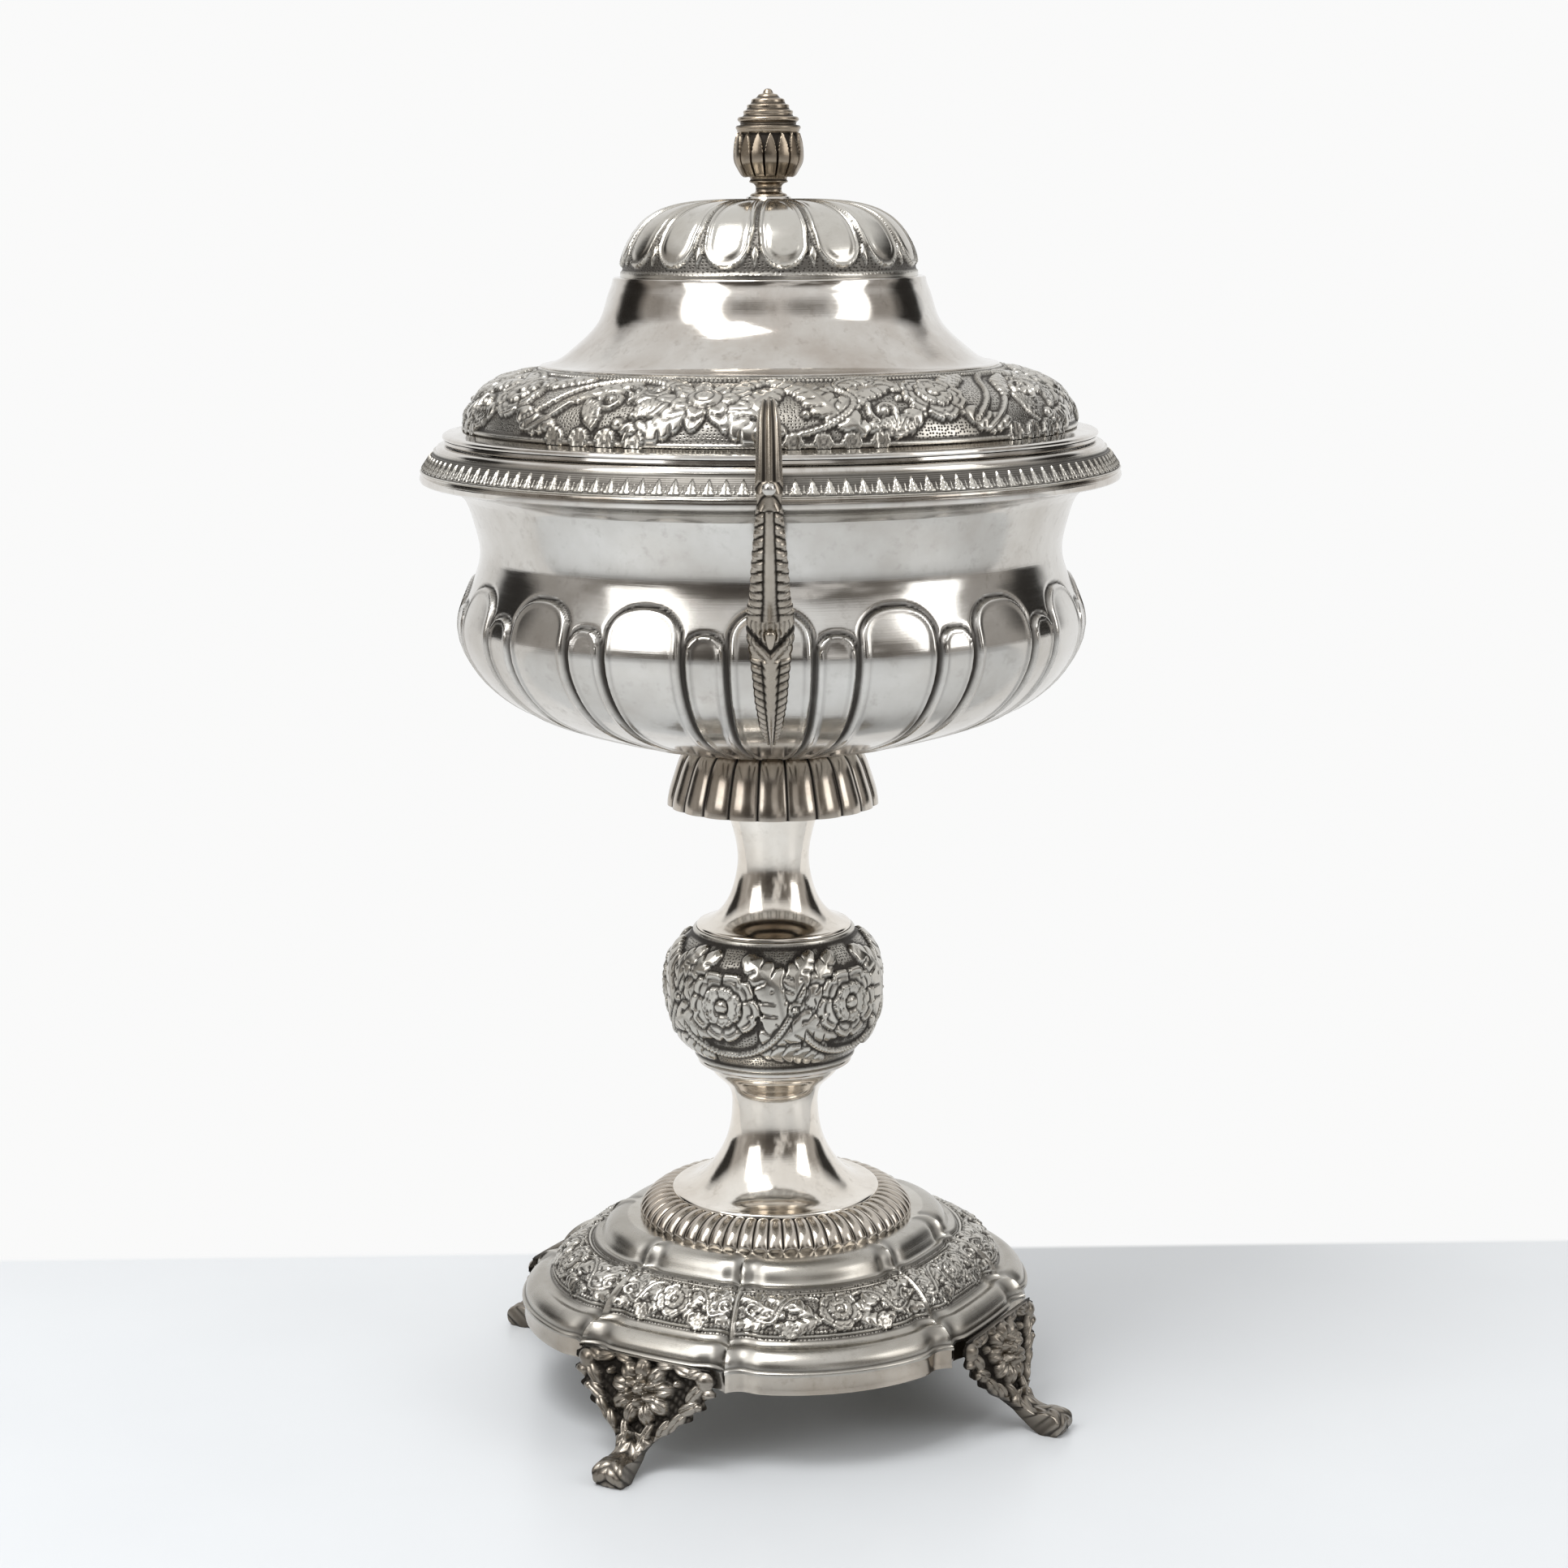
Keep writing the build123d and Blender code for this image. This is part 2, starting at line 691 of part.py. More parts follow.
with BuildLine() as lid_band_path:
    Spline(
        (band_bottom_radius, brim_top),
        (band_bottom_radius - 3.9, brim_top + 0.56 * lid_band_height),
        (band_top_radius + 10.6, lid_band_top - 0.19 * lid_band_height),
        (band_top_radius, lid_band_top),
        tangents=((0, 1), (-1, 0.35)),
    )
with BuildPart() as lid_band:
    with BuildSketch(Plane.XZ):
        add(sheet_profile(lid_band_path.line, sheet))
    revolve(axis=Axis.Z)
keep(lid_band, "lid_band")

with BuildLine() as lid_neck_path:
    Spline(
        (band_top_radius, lid_band_top),
        (lid_neck_radius + 11.0, lid_band_top + 4.7),
        (lid_neck_radius + 3.4, lid_band_top + 0.54 * lid_neck_height),
        (lid_neck_radius + 1.0, lid_band_top + 0.84 * lid_neck_height),
        (lid_neck_radius, dome_bottom),
        tangents=((-1, 0.35), (0, 1)),
    )
with BuildPart() as lid_neck:
    with BuildSketch(Plane.XZ):
        add(sheet_profile(lid_neck_path.line, sheet))
        with Locations((lid_neck_radius - 0.4 * sheet, dome_bottom)):
            Rectangle(3.6, sheet, align=(Align.MAX, Align.MAX))
    revolve(axis=Axis.Z)
keep(lid_neck, "lid_neck")

with BuildLine() as lid_dome_path:
    Line((dome_radius, dome_bottom), (dome_radius, dome_bottom + dome_ledge))
    Spline(
        (dome_radius, dome_bottom + dome_ledge),
        (dome_radius - 1.6, dome_bottom + 0.38 * dome_height),
        (dome_radius - 7.2, dome_bottom + 0.76 * dome_height),
        (0.44 * dome_radius, dome_top - 0.3),
        (collar_radius + 1, dome_top),
        tangents=((0, 1), (-1, 0)),
    )
    Line((collar_radius + 1, dome_top), (stud_radius, dome_top))
with BuildPart() as lid_dome:
    with BuildSketch(Plane.XZ):
        add(sheet_profile(lid_dome_path.line, sheet))
    revolve(axis=Axis.Z)
keep(lid_dome, "lid_dome")

# ---- finial: bud on a collar, held by a stud and nut inside the dome ----
with BuildPart() as finial_collar:
    with BuildSketch(Plane.XY.offset(dome_top)):
        Circle(collar_radius)
        Circle(stud_radius, mode=Mode.SUBTRACT)
    extrude(amount=collar_height)
keep(finial_collar, "finial_collar")

with BuildPart() as finial:
    with BuildSketch(Plane.XZ):
        with BuildLine():
            Polyline(
                (0, dome_top - stud_length),
                (stud_radius, dome_top - stud_length),
                (stud_radius, finial_bottom),
                (0.5 * finial_radius, finial_bottom),
            )
            Spline(
                (0.5 * finial_radius, finial_bottom),
                (0.41 * finial_radius, finial_bottom + 0.05 * finial_height),
                (0.90 * finial_radius, finial_bottom + 0.23 * finial_height),
                (finial_radius, finial_bottom + 0.35 * finial_height),
                (0.90 * finial_radius, finial_bottom + 0.60 * finial_height),
            )
            Polyline(
                (0.90 * finial_radius, finial_bottom + 0.60 * finial_height),
                (0.80 * finial_radius, finial_bottom + 0.70 * finial_height),
                (0.72 * finial_radius, finial_bottom + 0.80 * finial_height),
                (0.55 * finial_radius, finial_bottom + 0.90 * finial_height),
                (0.15 * finial_radius, finial_bottom + 0.97 * finial_height),
                (0, finial_bottom + finial_height),
                (0, dome_top - stud_length),
            )
        make_face()
    revolve(axis=Axis.Z)
keep(finial, "finial")

with BuildPart() as finial_nut:
    with BuildSketch(Plane.XY.offset(dome_top - sheet)):
        RegularPolygon(lid_nut_radius, 6)
        Circle(stud_radius, mode=Mode.SUBTRACT)
    extrude(amount=-lid_nut_height)
keep(finial_nut, "finial_nut")

print(len(pieces), "pieces, top at", finial_bottom + finial_height)
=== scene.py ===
import math

import bpy
import numpy as np
from mathutils import Matrix, Vector


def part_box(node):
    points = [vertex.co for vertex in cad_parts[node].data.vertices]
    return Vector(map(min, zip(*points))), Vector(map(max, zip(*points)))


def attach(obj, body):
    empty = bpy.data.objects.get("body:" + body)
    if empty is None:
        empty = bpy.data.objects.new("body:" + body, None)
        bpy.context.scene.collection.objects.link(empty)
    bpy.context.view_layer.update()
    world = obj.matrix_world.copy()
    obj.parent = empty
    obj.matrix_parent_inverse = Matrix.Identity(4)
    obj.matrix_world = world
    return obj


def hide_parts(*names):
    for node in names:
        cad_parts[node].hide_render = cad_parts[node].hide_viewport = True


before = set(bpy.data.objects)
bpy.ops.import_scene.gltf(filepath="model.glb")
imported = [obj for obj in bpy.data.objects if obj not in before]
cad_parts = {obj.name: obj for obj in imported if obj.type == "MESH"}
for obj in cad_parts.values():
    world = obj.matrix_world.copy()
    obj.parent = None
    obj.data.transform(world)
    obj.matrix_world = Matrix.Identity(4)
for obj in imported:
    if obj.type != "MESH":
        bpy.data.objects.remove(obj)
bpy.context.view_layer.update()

# Covered silver bowl on a spool stem. Every shape below is worked out in millimetres on a
# grid and written in metres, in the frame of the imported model: +Z up, tie rod on Z.

MM = 0.001
TAU = 2 * math.pi

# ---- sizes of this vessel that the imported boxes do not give, in millimetres ----
SHEET = 1.0
BASE_TURN = math.radians(15.5)      # middle of a bulging base panel, from the handle line
BULGE_HALF = math.radians(26.5)
CORNER_SHARE = 0.965
STRAIGHT_SHARE = 0.935
NECK_R = 78.9
BELLY_R = 84.8
FLOOR_R = 22.0
BRIM_ROOT_R = 84.3
CALYX_TOP_R = 21.5
BAND_TOP_R = 61.2
BAND_FOOT_R = 82.6
LID_NECK_R = 42.0
KNOP_MOUTH_R = 21.2
STEM_FOOT_R = 29.2
HANDLE_REACH = 110.5
LEAF_TOP_R = 90.7
LIP_R = 94.6
TOE_REACH = 86.5
FOOT_WIDTH = 44.0
BELLY_RISE = 34.0
BRIM_SLOPE = 2.6
BRIM_R = 93.2
BOSS_SPIGOT = 6.0
SEAT_IN_R = 85.2
CALYX_R = 29.1
GADROON_R = 38.2
LOWER_WAIST_R = 12.1
LOWER_HEAD_R = 18.5
KNOP_RING_R = 21.5
KNOP_R = 29.8
UPPER_FOOT_R = 21.5
UPPER_WAIST_R = 9.9
UPPER_HEAD_R = 15.5
BASE_R = 72.5
APRON_R = 71.9
LID_BRIM_R = 88.3
BEZEL_R = 82.7
DOME_R = 39.9
COLLAR_R = 6.2
STUD_R = 2.5
FINIAL_R = 9.3
WIDE_LOBE_TOP, NARROW_LOBE_TOP = 231.5, 225.5
LOBE_PITCH = 22.5                   # degrees, sixteen round the piece
RING_AROUND = 384                   # steps round a plain ring


def node_box(node):
    """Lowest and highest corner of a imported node, in millimetres."""
    low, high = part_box(node)
    return np.array(low) / MM, np.array(high) / MM


# ======================= shapes from grids =======================

def smooth(points, count, start=None, end=None):
    """Cubic spline through points, by chord length, read at count even steps.

    start and end give the direction at that end; without one the curve is free to bend there.
    """
    points = np.asarray(points, float)
    gaps = np.linalg.norm(np.diff(points, axis=0), axis=1)
    knots = np.concatenate([[0], np.cumsum(gaps)])
    size = len(points)
    matrix = np.eye(size)
    right = np.zeros_like(points)
    for i in range(1, size - 1):
        before, after = gaps[i - 1], gaps[i]
        matrix[i, i - 1:i + 2] = before, 2 * (before + after), after
        right[i] = 6 * ((points[i + 1] - points[i]) / after - (points[i] - points[i - 1]) / before)
    if start is not None:
        slope = np.array(start) / np.hypot(*start)
        matrix[0, :2] = 2 * gaps[0], gaps[0]
        right[0] = 6 * ((points[1] - points[0]) / gaps[0] - slope)
    if end is not None:
        slope = np.array(end) / np.hypot(*end)
        matrix[-1, -2:] = gaps[-1], 2 * gaps[-1]
        right[-1] = 6 * (slope - (points[-1] - points[-2]) / gaps[-1])
    bend = np.linalg.solve(matrix, right)
    at = np.linspace(0, knots[-1], count)
    cell = np.clip(np.searchsorted(knots, at, side="right") - 1, 0, size - 2)
    width = gaps[cell][:, None]
    left = (at - knots[cell])[:, None]
    rest = width - left
    return ((bend[cell] * rest ** 3 + bend[cell + 1] * left ** 3) / (6 * width)
            + (points[cell] / width - bend[cell] * width / 6) * rest
            + (points[cell + 1] / width - bend[cell + 1] * width / 6) * left)


def run_length(line):
    """Distance travelled along a line of points, starting at 0."""
    return np.concatenate([[0], np.cumsum(np.linalg.norm(np.diff(line, axis=0), axis=1))])


def step(edge_low, edge_high, value):
    """Smooth step from 0 to 1 between two edges."""
    t = np.clip((value - edge_low) / (edge_high - edge_low), 0, 1)
    return t * t * (3 - 2 * t)


def bell(x, width):
    """Bell curve: 1 where x is 0, down to 1/e at one width."""
    return np.exp(-(x / width) ** 2)


def domed(x):
    """Half round: 1 where x is 0, down to 0 where it is 1 or more."""
    return np.sqrt(np.clip(1 - x ** 2, 0, 1))


def blurred(field, cells, wrap=True):
    """Gaussian blur of a grid by a number of cells, through its Fourier series."""
    pad = 0 if wrap else field.shape[1] // 8
    big = np.pad(field, ((field.shape[0] // 2,) * 2, (pad, pad)), mode="edge")
    rows = np.fft.fftfreq(big.shape[0])[:, None]
    columns = np.fft.rfftfreq(big.shape[1])[None, :]
    kernel = np.exp(-2 * (math.pi * cells) ** 2 * (rows ** 2 + columns ** 2))
    out = np.fft.irfft2(np.fft.rfft2(big) * kernel, s=big.shape)
    top = field.shape[0] // 2
    return out[top:top + field.shape[0], pad:pad + field.shape[1]]


def write_mesh(name, points, faces, smooth_shading=True):
    """Mesh object from points in millimetres and a list of face index arrays."""
    mesh = bpy.data.meshes.new(name)
    mesh.vertices.add(len(points))
    mesh.vertices.foreach_set("co", (np.asarray(points) * MM).astype(np.float32).ravel())
    corners = np.concatenate([f.ravel() for f in faces]).astype(np.int32)
    totals = np.concatenate([np.full(len(f), f.shape[1]) for f in faces]).astype(np.int32)
    starts = np.concatenate([[0], np.cumsum(totals)[:-1]]).astype(np.int32)
    mesh.loops.add(len(corners))
    mesh.loops.foreach_set("vertex_index", corners)
    mesh.polygons.add(len(totals))
    mesh.polygons.foreach_set("loop_start", starts)
    mesh.polygons.foreach_set("loop_total", totals)
    mesh.polygons.foreach_set("use_smooth", np.full(len(totals), smooth_shading))
    mesh.update(calc_edges=True)
    piece = bpy.data.objects.new(name, mesh)
    bpy.context.scene.collection.objects.link(piece)
    return piece


def grid_piece(name, points, closed_rows=False, caps=(False, False), uv=None, fields=None,
               closed_columns=True):
    """Skin over a grid of points (rows, columns, 3).

    Rows run along the profile and columns run round it. A cap closes the first or the last
    row with a fan to its middle. uv is (rows, columns + 1, 2) in millimetres.
    """
    rows, columns, _ = points.shape
    flat = points.reshape(-1, 3)
    row_count = rows if closed_rows else rows - 1
    column_count = columns if closed_columns else columns - 1
    i, j = np.meshgrid(np.arange(row_count), np.arange(column_count), indexing="ij")
    here, along = i * columns, ((i + 1) % rows) * columns
    nxt = (j + 1) % columns
    quads = np.stack([here + j, here + nxt, along + nxt, along + j], -1).reshape(-1, 4)
    faces = [quads]
    extra = []
    for end, capped in enumerate(caps):
        if capped:
            row = (rows - 1) * end
            middle = len(flat) + len(extra)
            extra.append(points[row].mean(0))
            a = row * columns + np.arange(columns)
            b = row * columns + (np.arange(columns) + 1) % columns
            fan = (b, a) if end == 0 else (a, b)
            faces.append(np.stack([fan[0], fan[1], np.full(columns, middle)], -1))
    if extra:
        flat = np.concatenate([flat, np.array(extra)])
    piece = write_mesh(name, flat, faces)
    mesh = piece.data
    if uv is not None:
        above = (i + 1) % rows
        corner = np.stack([uv[i, j], uv[i, j + 1], uv[above, j + 1], uv[above, j]], 2)
        corner = corner.reshape(-1, 2)
        loops = np.zeros((len(mesh.loops), 2), np.float32)
        loops[:len(corner)] = corner
        mesh.uv_layers.new(name="sheet_mm").data.foreach_set("uv", loops.ravel())
    for key, values in (fields or {}).items():
        data = np.zeros(len(mesh.vertices), np.float32)
        data[:rows * columns] = values.ravel()
        mesh.attributes.new(key, "FLOAT", "POINT").data.foreach_set("value", data)
    return piece


def profile_normals(line):
    """Unit normals to the right of a profile (radius, height) that climbs the outside."""
    slope = np.gradient(line, axis=0)
    slope /= np.linalg.norm(slope, axis=1)[:, None] + 1e-12
    return np.stack([slope[:, 1], -slope[:, 0]], -1)


def turned_piece(name, outside, inside, around, relief=None, caps=(False, False), plan=None):
    """Turned shell: the outside profile with relief, closed by a plain inside profile.

    A point is (r + h n_r, z + h n_z) turned by its angle, where n is the profile's normal
    and relief(angle, length) gives h, the oxide and the punched ground. plan(angle) scales
    the radius, for a plan that is not round. With no inside profile, caps says which ends close.
    """
    angles = np.arange(around) / around * TAU
    normals = profile_normals(outside)
    length = run_length(outside)
    heights = np.zeros((len(outside), around))
    oxide = np.zeros_like(heights)
    ground = np.zeros_like(heights)
    if relief is not None:
        heights, oxide, ground = relief(angles, length, outside)
    radius = outside[:, :1] + normals[:, :1] * heights
    height = outside[:, 1:] + normals[:, 1:] * heights
    line_r = outside[:, 0]
    if inside is not None:
        extra = len(inside)
        radius = np.concatenate([radius, np.repeat(inside[:, :1], around, 1)])
        height = np.concatenate([height, np.repeat(inside[:, 1:], around, 1)])
        oxide = np.concatenate([oxide, np.zeros((extra, around))])
        ground = np.concatenate([ground, np.zeros((extra, around))])
        line_r = np.concatenate([line_r, inside[:, 0]])
        length = np.concatenate([length, length[-1] + run_length(inside)])
    if plan is not None:
        radius = radius * plan(angles, line_r)
    points = np.stack([radius * np.cos(angles), radius * np.sin(angles), height], -1)
    wide = np.append(angles, TAU)
    mid_r = float(np.mean(outside[:, 0]))
    uv = np.stack(np.broadcast_arrays(wide[None, :] * mid_r, length[:, None]), -1)
    return grid_piece(name, points, closed_rows=inside is not None, caps=caps, uv=uv,
                      fields={"oxide": oxide, "ground": ground})


# ======================= chasing: relief on an unrolled sheet =======================

class Chasing:
    """Relief hammered into one tile of sheet: x runs round it and y climbs it, in mm."""

    def __init__(self, x, y):
        self.x, self.y = np.meshgrid(x, y)
        self.height = np.zeros_like(self.x)
        self.worked = np.zeros_like(self.x)
        self.lines = np.zeros_like(self.x)
        self.cell = x[1] - x[0]
        self.period = x[-1] - x[0] + self.cell

    def near(self, cx):
        """Horizontal distance to cx, taken the short way round the tile."""
        return (self.x - cx + self.period / 2) % self.period - self.period / 2

    def raise_to(self, height, mask, tooled=0.0):
        """Lay a motif over what is there, with a tooled line round it and its own inner lines."""
        mask = np.asarray(mask, float)
        moat = np.clip(2.6 * blurred(mask, 0.30 / self.cell), 0, 1) * (mask == 0)
        self.height = np.where(mask > 0, height - 0.25 * tooled, self.height * (1 - 0.85 * moat))
        self.lines = np.where(mask > 0, tooled, np.maximum(self.lines, moat))
        self.worked = np.maximum(self.worked, mask)

    def to_line(self, line):
        """For each point: distance to a line, side of it, share along it and length along it."""
        line = np.asarray(line, float)
        starts, ends = line[:-1], line[1:]
        along = run_length(line)
        middle = line[:, 0].mean()
        px = self.near(middle) + middle
        best = np.full(self.x.shape, 1e9)
        side = np.zeros_like(best)
        share = np.zeros_like(best)
        for k in range(len(starts)):
            d = ends[k] - starts[k]
            size = math.hypot(*d) + 1e-9
            qx, qy = px - starts[k][0], self.y - starts[k][1]
            t = np.clip((qx * d[0] + qy * d[1]) / size ** 2, 0, 1)
            gap = np.hypot(qx - t * d[0], qy - t * d[1])
            closer = gap < best
            best = np.where(closer, gap, best)
            side = np.where(closer, np.sign(d[0] * qy - d[1] * qx), side)
            share = np.where(closer, (along[k] + t * size) / along[-1], share)
        return best, side, share, along[-1]

    def stem(self, line, width, height, bead=None):
        """Raised cord along a line, in beads of the given pitch if it has one."""
        gap, _, share, total = self.to_line(line)
        shape = domed(gap / (width / 2))
        if bead:
            shape = shape * (0.35 + 0.65 * np.abs(np.sin(math.pi * share * round(total / bead))))
        self.raise_to(height * shape, gap < width / 2)

    def leaf(self, line, width, height, lobes=7, tip=0.25):
        """Acanthus leaf along a spine: a lobed outline, slanted veins and a raised midrib."""
        gap, _, share, _ = self.to_line(line)
        slant = share - 0.55 * gap / width / lobes * 2.2
        lobe = np.abs(np.sin(math.pi * lobes * slant))
        reach = width / 2 * np.sin(math.pi * np.clip(share * (1 - tip) + tip * 0.55, 0, 1)) ** 0.7
        reach = reach * (0.66 + 0.34 * lobe ** 0.7) + 1e-6
        inside = gap < reach
        crown = domed(gap / reach)
        shape = height * (0.45 + 0.55 * crown) * inside
        vein = bell(lobe, 0.22) * step(0.12, 0.4, gap / reach)
        shape = shape - 0.45 * height * vein * inside
        rib = bell(gap, 0.09 * width)
        shape = shape + 0.25 * height * rib * inside
        midline = bell(gap, 0.05 * width) * (share < 0.85)
        self.raise_to(np.clip(shape, 0.02, None) * inside, inside,
                      np.maximum(0.8 * vein, 0.5 * midline) * inside)

    def bowl_of_petals(self, cx, cy, radius, petals, height, notch=0.22):
        """One ring of petals round a centre: cupped, with a rolled rim and grooves between."""
        dx, dy = self.near(cx), self.y - cy
        rho, phi = np.hypot(dx, dy) / radius, np.arctan2(dy, dx)
        lobe = np.abs(np.cos(petals * phi / 2))
        edge = 1 - notch + notch * lobe ** 0.55
        dip = 0.10 * bell(1 - lobe, 0.05)
        edge = edge - dip
        inside = rho < edge
        rim = bell(rho - edge + 0.13, 0.10)
        cup = 0.45 + 0.35 * rho
        shape = height * (cup + 0.35 * rim) * step(0, 0.06, edge - rho)
        groove = bell(lobe, 0.20) * step(0.25, 0.6, rho)
        vein = (0.12 * np.cos(petals * phi * 5) * step(0.4, 0.6, rho)
                * (1 - step(0.75, 0.95, rho / edge)))
        shape = shape * (1 - 0.75 * groove) + height * vein * 0.5
        ring = bell(rho - 0.30, 0.06)
        self.raise_to(0.8 * shape * inside, inside, np.maximum(0.9 * groove, 0.8 * ring) * inside)

    def rose(self, cx, cy, radius, height, petals=5, turn=0.3):
        """Open rose: broad petals with a rolled rim, a ring of small ones, and a button."""
        dx, dy = self.near(cx), self.y - cy
        rho, phi = np.hypot(dx, dy) / radius, np.arctan2(dy, dx) + turn
        for count, size, low, high, lean in ((petals, 1.0, 0.0, 0.60, 0.0),
                                             (petals + 2, 0.56, 0.45, 0.95, 0.6)):
            lobe = np.abs(np.cos(count * phi / 2 + lean))
            edge = size * (0.86 + 0.14 * lobe ** 0.8 - 0.10 * bell(1 - lobe, 0.02))
            inside = rho < edge
            rim = bell(edge - rho - 0.07 * size, 0.07 * size)
            cup = 0.42 + 0.30 * rho / size
            split = bell(lobe, 0.11)
            shape = low + (high - low) * (cup + 0.42 * rim) * (1 - 0.85 * split)
            fold = bell(edge - rho - 0.19 * size, 0.035 * size)
            self.raise_to(height * shape * inside, inside,
                          np.maximum(0.9 * split, 0.75 * fold) * inside)
        button = domed(rho / 0.17)
        self.raise_to(height * (0.70 + 0.40 * button) * (rho < 0.17), rho < 0.17)

    def peony(self, cx, cy, radius, height):
        """Lotus-like bloom: pointed outer petals, rounder inner ones, and a ringed heart."""
        dx, dy = self.near(cx) / 1.18, self.y - cy
        rho, phi = np.hypot(dx, dy) / radius, np.arctan2(dy, dx)
        for count, size, rise, turn, point in ((9, 1.0, 0.55, 0.35, 0.42),
                                               (7, 0.70, 0.80, 0.0, 0.25)):
            phase = (phi + turn) * count / 2
            lobe = np.abs(np.cos(phase))
            edge = size * (1 - point + point * lobe ** 1.6)
            inside = rho < edge
            shape = 0.50 + 0.35 * np.exp(-((edge - rho) / 0.10 - 0.8) ** 2)
            shape = shape * (1 - 0.7 * bell(lobe, 0.22) * step(0.2, 0.4, rho / size))
            ribs = 0.07 * np.cos(phase * 14) * step(0.35, 0.6, rho / size)
            split = bell(lobe, 0.12) * step(0.2, 0.4, rho / size)
            middle = bell(1 - lobe, 0.02) * step(0.5, 0.6, rho / size)
            self.raise_to(height * rise * (shape + ribs) * inside, inside,
                          np.maximum(0.9 * split, 0.5 * middle) * inside)
        heart = domed(rho / 0.34)
        ring = 0.12 * np.cos(rho * 52)
        rings = bell(rho - 0.20, 0.025)
        self.raise_to(height * (0.55 + 0.45 * heart + ring) * (rho < 0.34), rho < 0.34, 0.8 * rings)

    def fan(self, cx, cy, radius, start, sweep, height, ribs=9):
        """Ribbed quarter fan, deepest at its hinge."""
        dx, dy = self.near(cx), self.y - cy
        rho = np.hypot(dx, dy) / radius
        turn = (np.arctan2(dy, dx) - start) % TAU
        inside = (rho < 1) & (rho > 0.12) & (turn < sweep)
        rib = np.abs(np.sin(math.pi * ribs * turn / sweep))
        shape = height * (0.35 + 0.65 * rib) * (0.5 + 0.5 * rho)
        self.raise_to(shape * inside, inside, bell(rib, 0.25) * inside)

    def volute(self, cx, cy, radius, start, turns, width, height):
        """Spiral scroll that winds in to a ball, radius falling evenly with the turn."""
        t = np.linspace(0, 1, 40)
        angle = start + turns * TAU * t
        size = radius * (1 - 0.85 * t)
        line = np.stack([cx + size * np.cos(angle), cy + size * np.sin(angle)], -1)
        self.stem(line, width, height)
        rho = np.hypot(self.near(cx), self.y - cy) / (0.9 * width)
        self.raise_to(1.25 * height * domed(rho), rho < 1)

    def pearls(self, cy, radius, pitch, height, offset=0.0):
        """Row of round pearls at one height, an even pitch apart."""
        count = max(1, round(self.period / pitch))
        real = self.period / count
        dx = (self.x - offset + real / 2) % real - real / 2
        rho = np.hypot(dx, self.y - cy) / radius
        self.raise_to(height * domed(rho), rho < 1)

    def line_round(self, cy, width, height):
        """Plain raised line at one height."""
        gap = np.abs(self.y - cy) / (width / 2)
        self.raise_to(height * domed(gap), gap < 1)

    def finished(self, cell, depth=0.35):
        """Soften the edges, sink the ground, and read where oxide stays: low and hemmed in."""
        height = blurred(self.height, 0.45)
        worked = blurred(self.worked, 0.8)
        ground = 1 - step(0.25, 0.7, worked)
        height = height - depth * ground
        close = blurred(height, 0.45 / cell) - height
        wide = blurred(height, 1.8 / cell) - height
        oxide = 0.55 * step(0.012, 0.12, close) + 0.30 * step(0.10, 0.50, wide) + 0.16 * ground
        oxide = np.clip(oxide + 0.85 * blurred(self.lines, 0.35), 0, 1)
        return height, oxide, ground


def repeated(tile, times, shift=0):
    """A tile set side by side round the piece, started shift columns in."""
    return np.roll(np.tile(tile, (1, times)), shift, axis=1)


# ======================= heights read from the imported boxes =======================

def top_of(node):
    return float(node_box(node)[1][2])


def foot_of(node):
    return float(node_box(node)[0][2])


def beside(radius, height, *steps):
    """Points at the given steps out from a radius and up from a height."""
    return [(radius + out, height + up) for out, up in steps]


def walk(line, at):
    """Points of a line at the given lengths along it."""
    run = run_length(line)
    return np.stack([np.interp(at, run, line[:, k]) for k in range(2)], -1)


def lining(line, wall, count):
    """The other side of the sheet: the profile moved in by one wall and walked back."""
    inner = line - wall * profile_normals(line)
    pick = np.linspace(len(line) - 1, 0, count).round().astype(int)
    return inner[pick]


def crisp(piece, degrees=38):
    """Keep edges sharper than this angle crisp in the shading."""
    piece.data.set_sharp_from_angle(angle=math.radians(degrees))
    return piece


def azimuth(angles):
    """Angle from the front handle, growing towards +X."""
    return angles + math.pi / 2


def from_middle(angles, first, pitch):
    """Angle to the nearest of evenly pitched middles, the first of them at `first`."""
    turn = azimuth(angles) - math.radians(first)
    step_ = math.radians(pitch)
    return (turn + step_ / 2) % step_ - step_ / 2


def plain(name, points, count, body, nodes, finish, around=256):
    """Spun sheet with no ornament: a smooth profile that ends upright, lined one wall in."""
    line = smooth(points, count, end=(0, 1))
    return placed(crisp(turned_piece(name, line, lining(line, SHEET, 8), around)),
                  body, finish, nodes)


def placed(piece, body, finish, nodes):
    """Hand a finished piece to its body, its finish and the nodes it stands for."""
    material, slot_name = finish
    piece.data.materials.append(material)
    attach(piece, body)
    if nodes:
        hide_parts(*nodes)
    return piece


# ======================= finishes =======================

def node_tree(name):
    material = bpy.data.materials.new(name)
    material.use_nodes = True
    tree = material.node_tree
    tree.nodes.clear()
    out = tree.nodes.new("ShaderNodeOutputMaterial")
    return material, tree, out


def add(tree, kind, **settings):
    """New node with its settings; a name such as in_Scale sets the value of input Scale."""
    node = tree.nodes.new(kind)
    for key, value in settings.items():
        if key.startswith("in_"):
            node.inputs[key[3:]].default_value = value
        else:
            setattr(node, key, value)
    return node


def ramp(tree, source, stops):
    """Colour ramp from (place, colour) stops."""
    node = tree.nodes.new("ShaderNodeValToRGB")
    while len(node.color_ramp.elements) < len(stops):
        node.color_ramp.elements.new(0.5)
    for element, (place, colour) in zip(node.color_ramp.elements, stops):
        element.position = place
        element.color = colour if len(colour) == 4 else (*colour, 1)
    tree.links.new(source, node.inputs[0])
    return node.outputs[0]


def grey(v):
    return (v, v, v, 1)


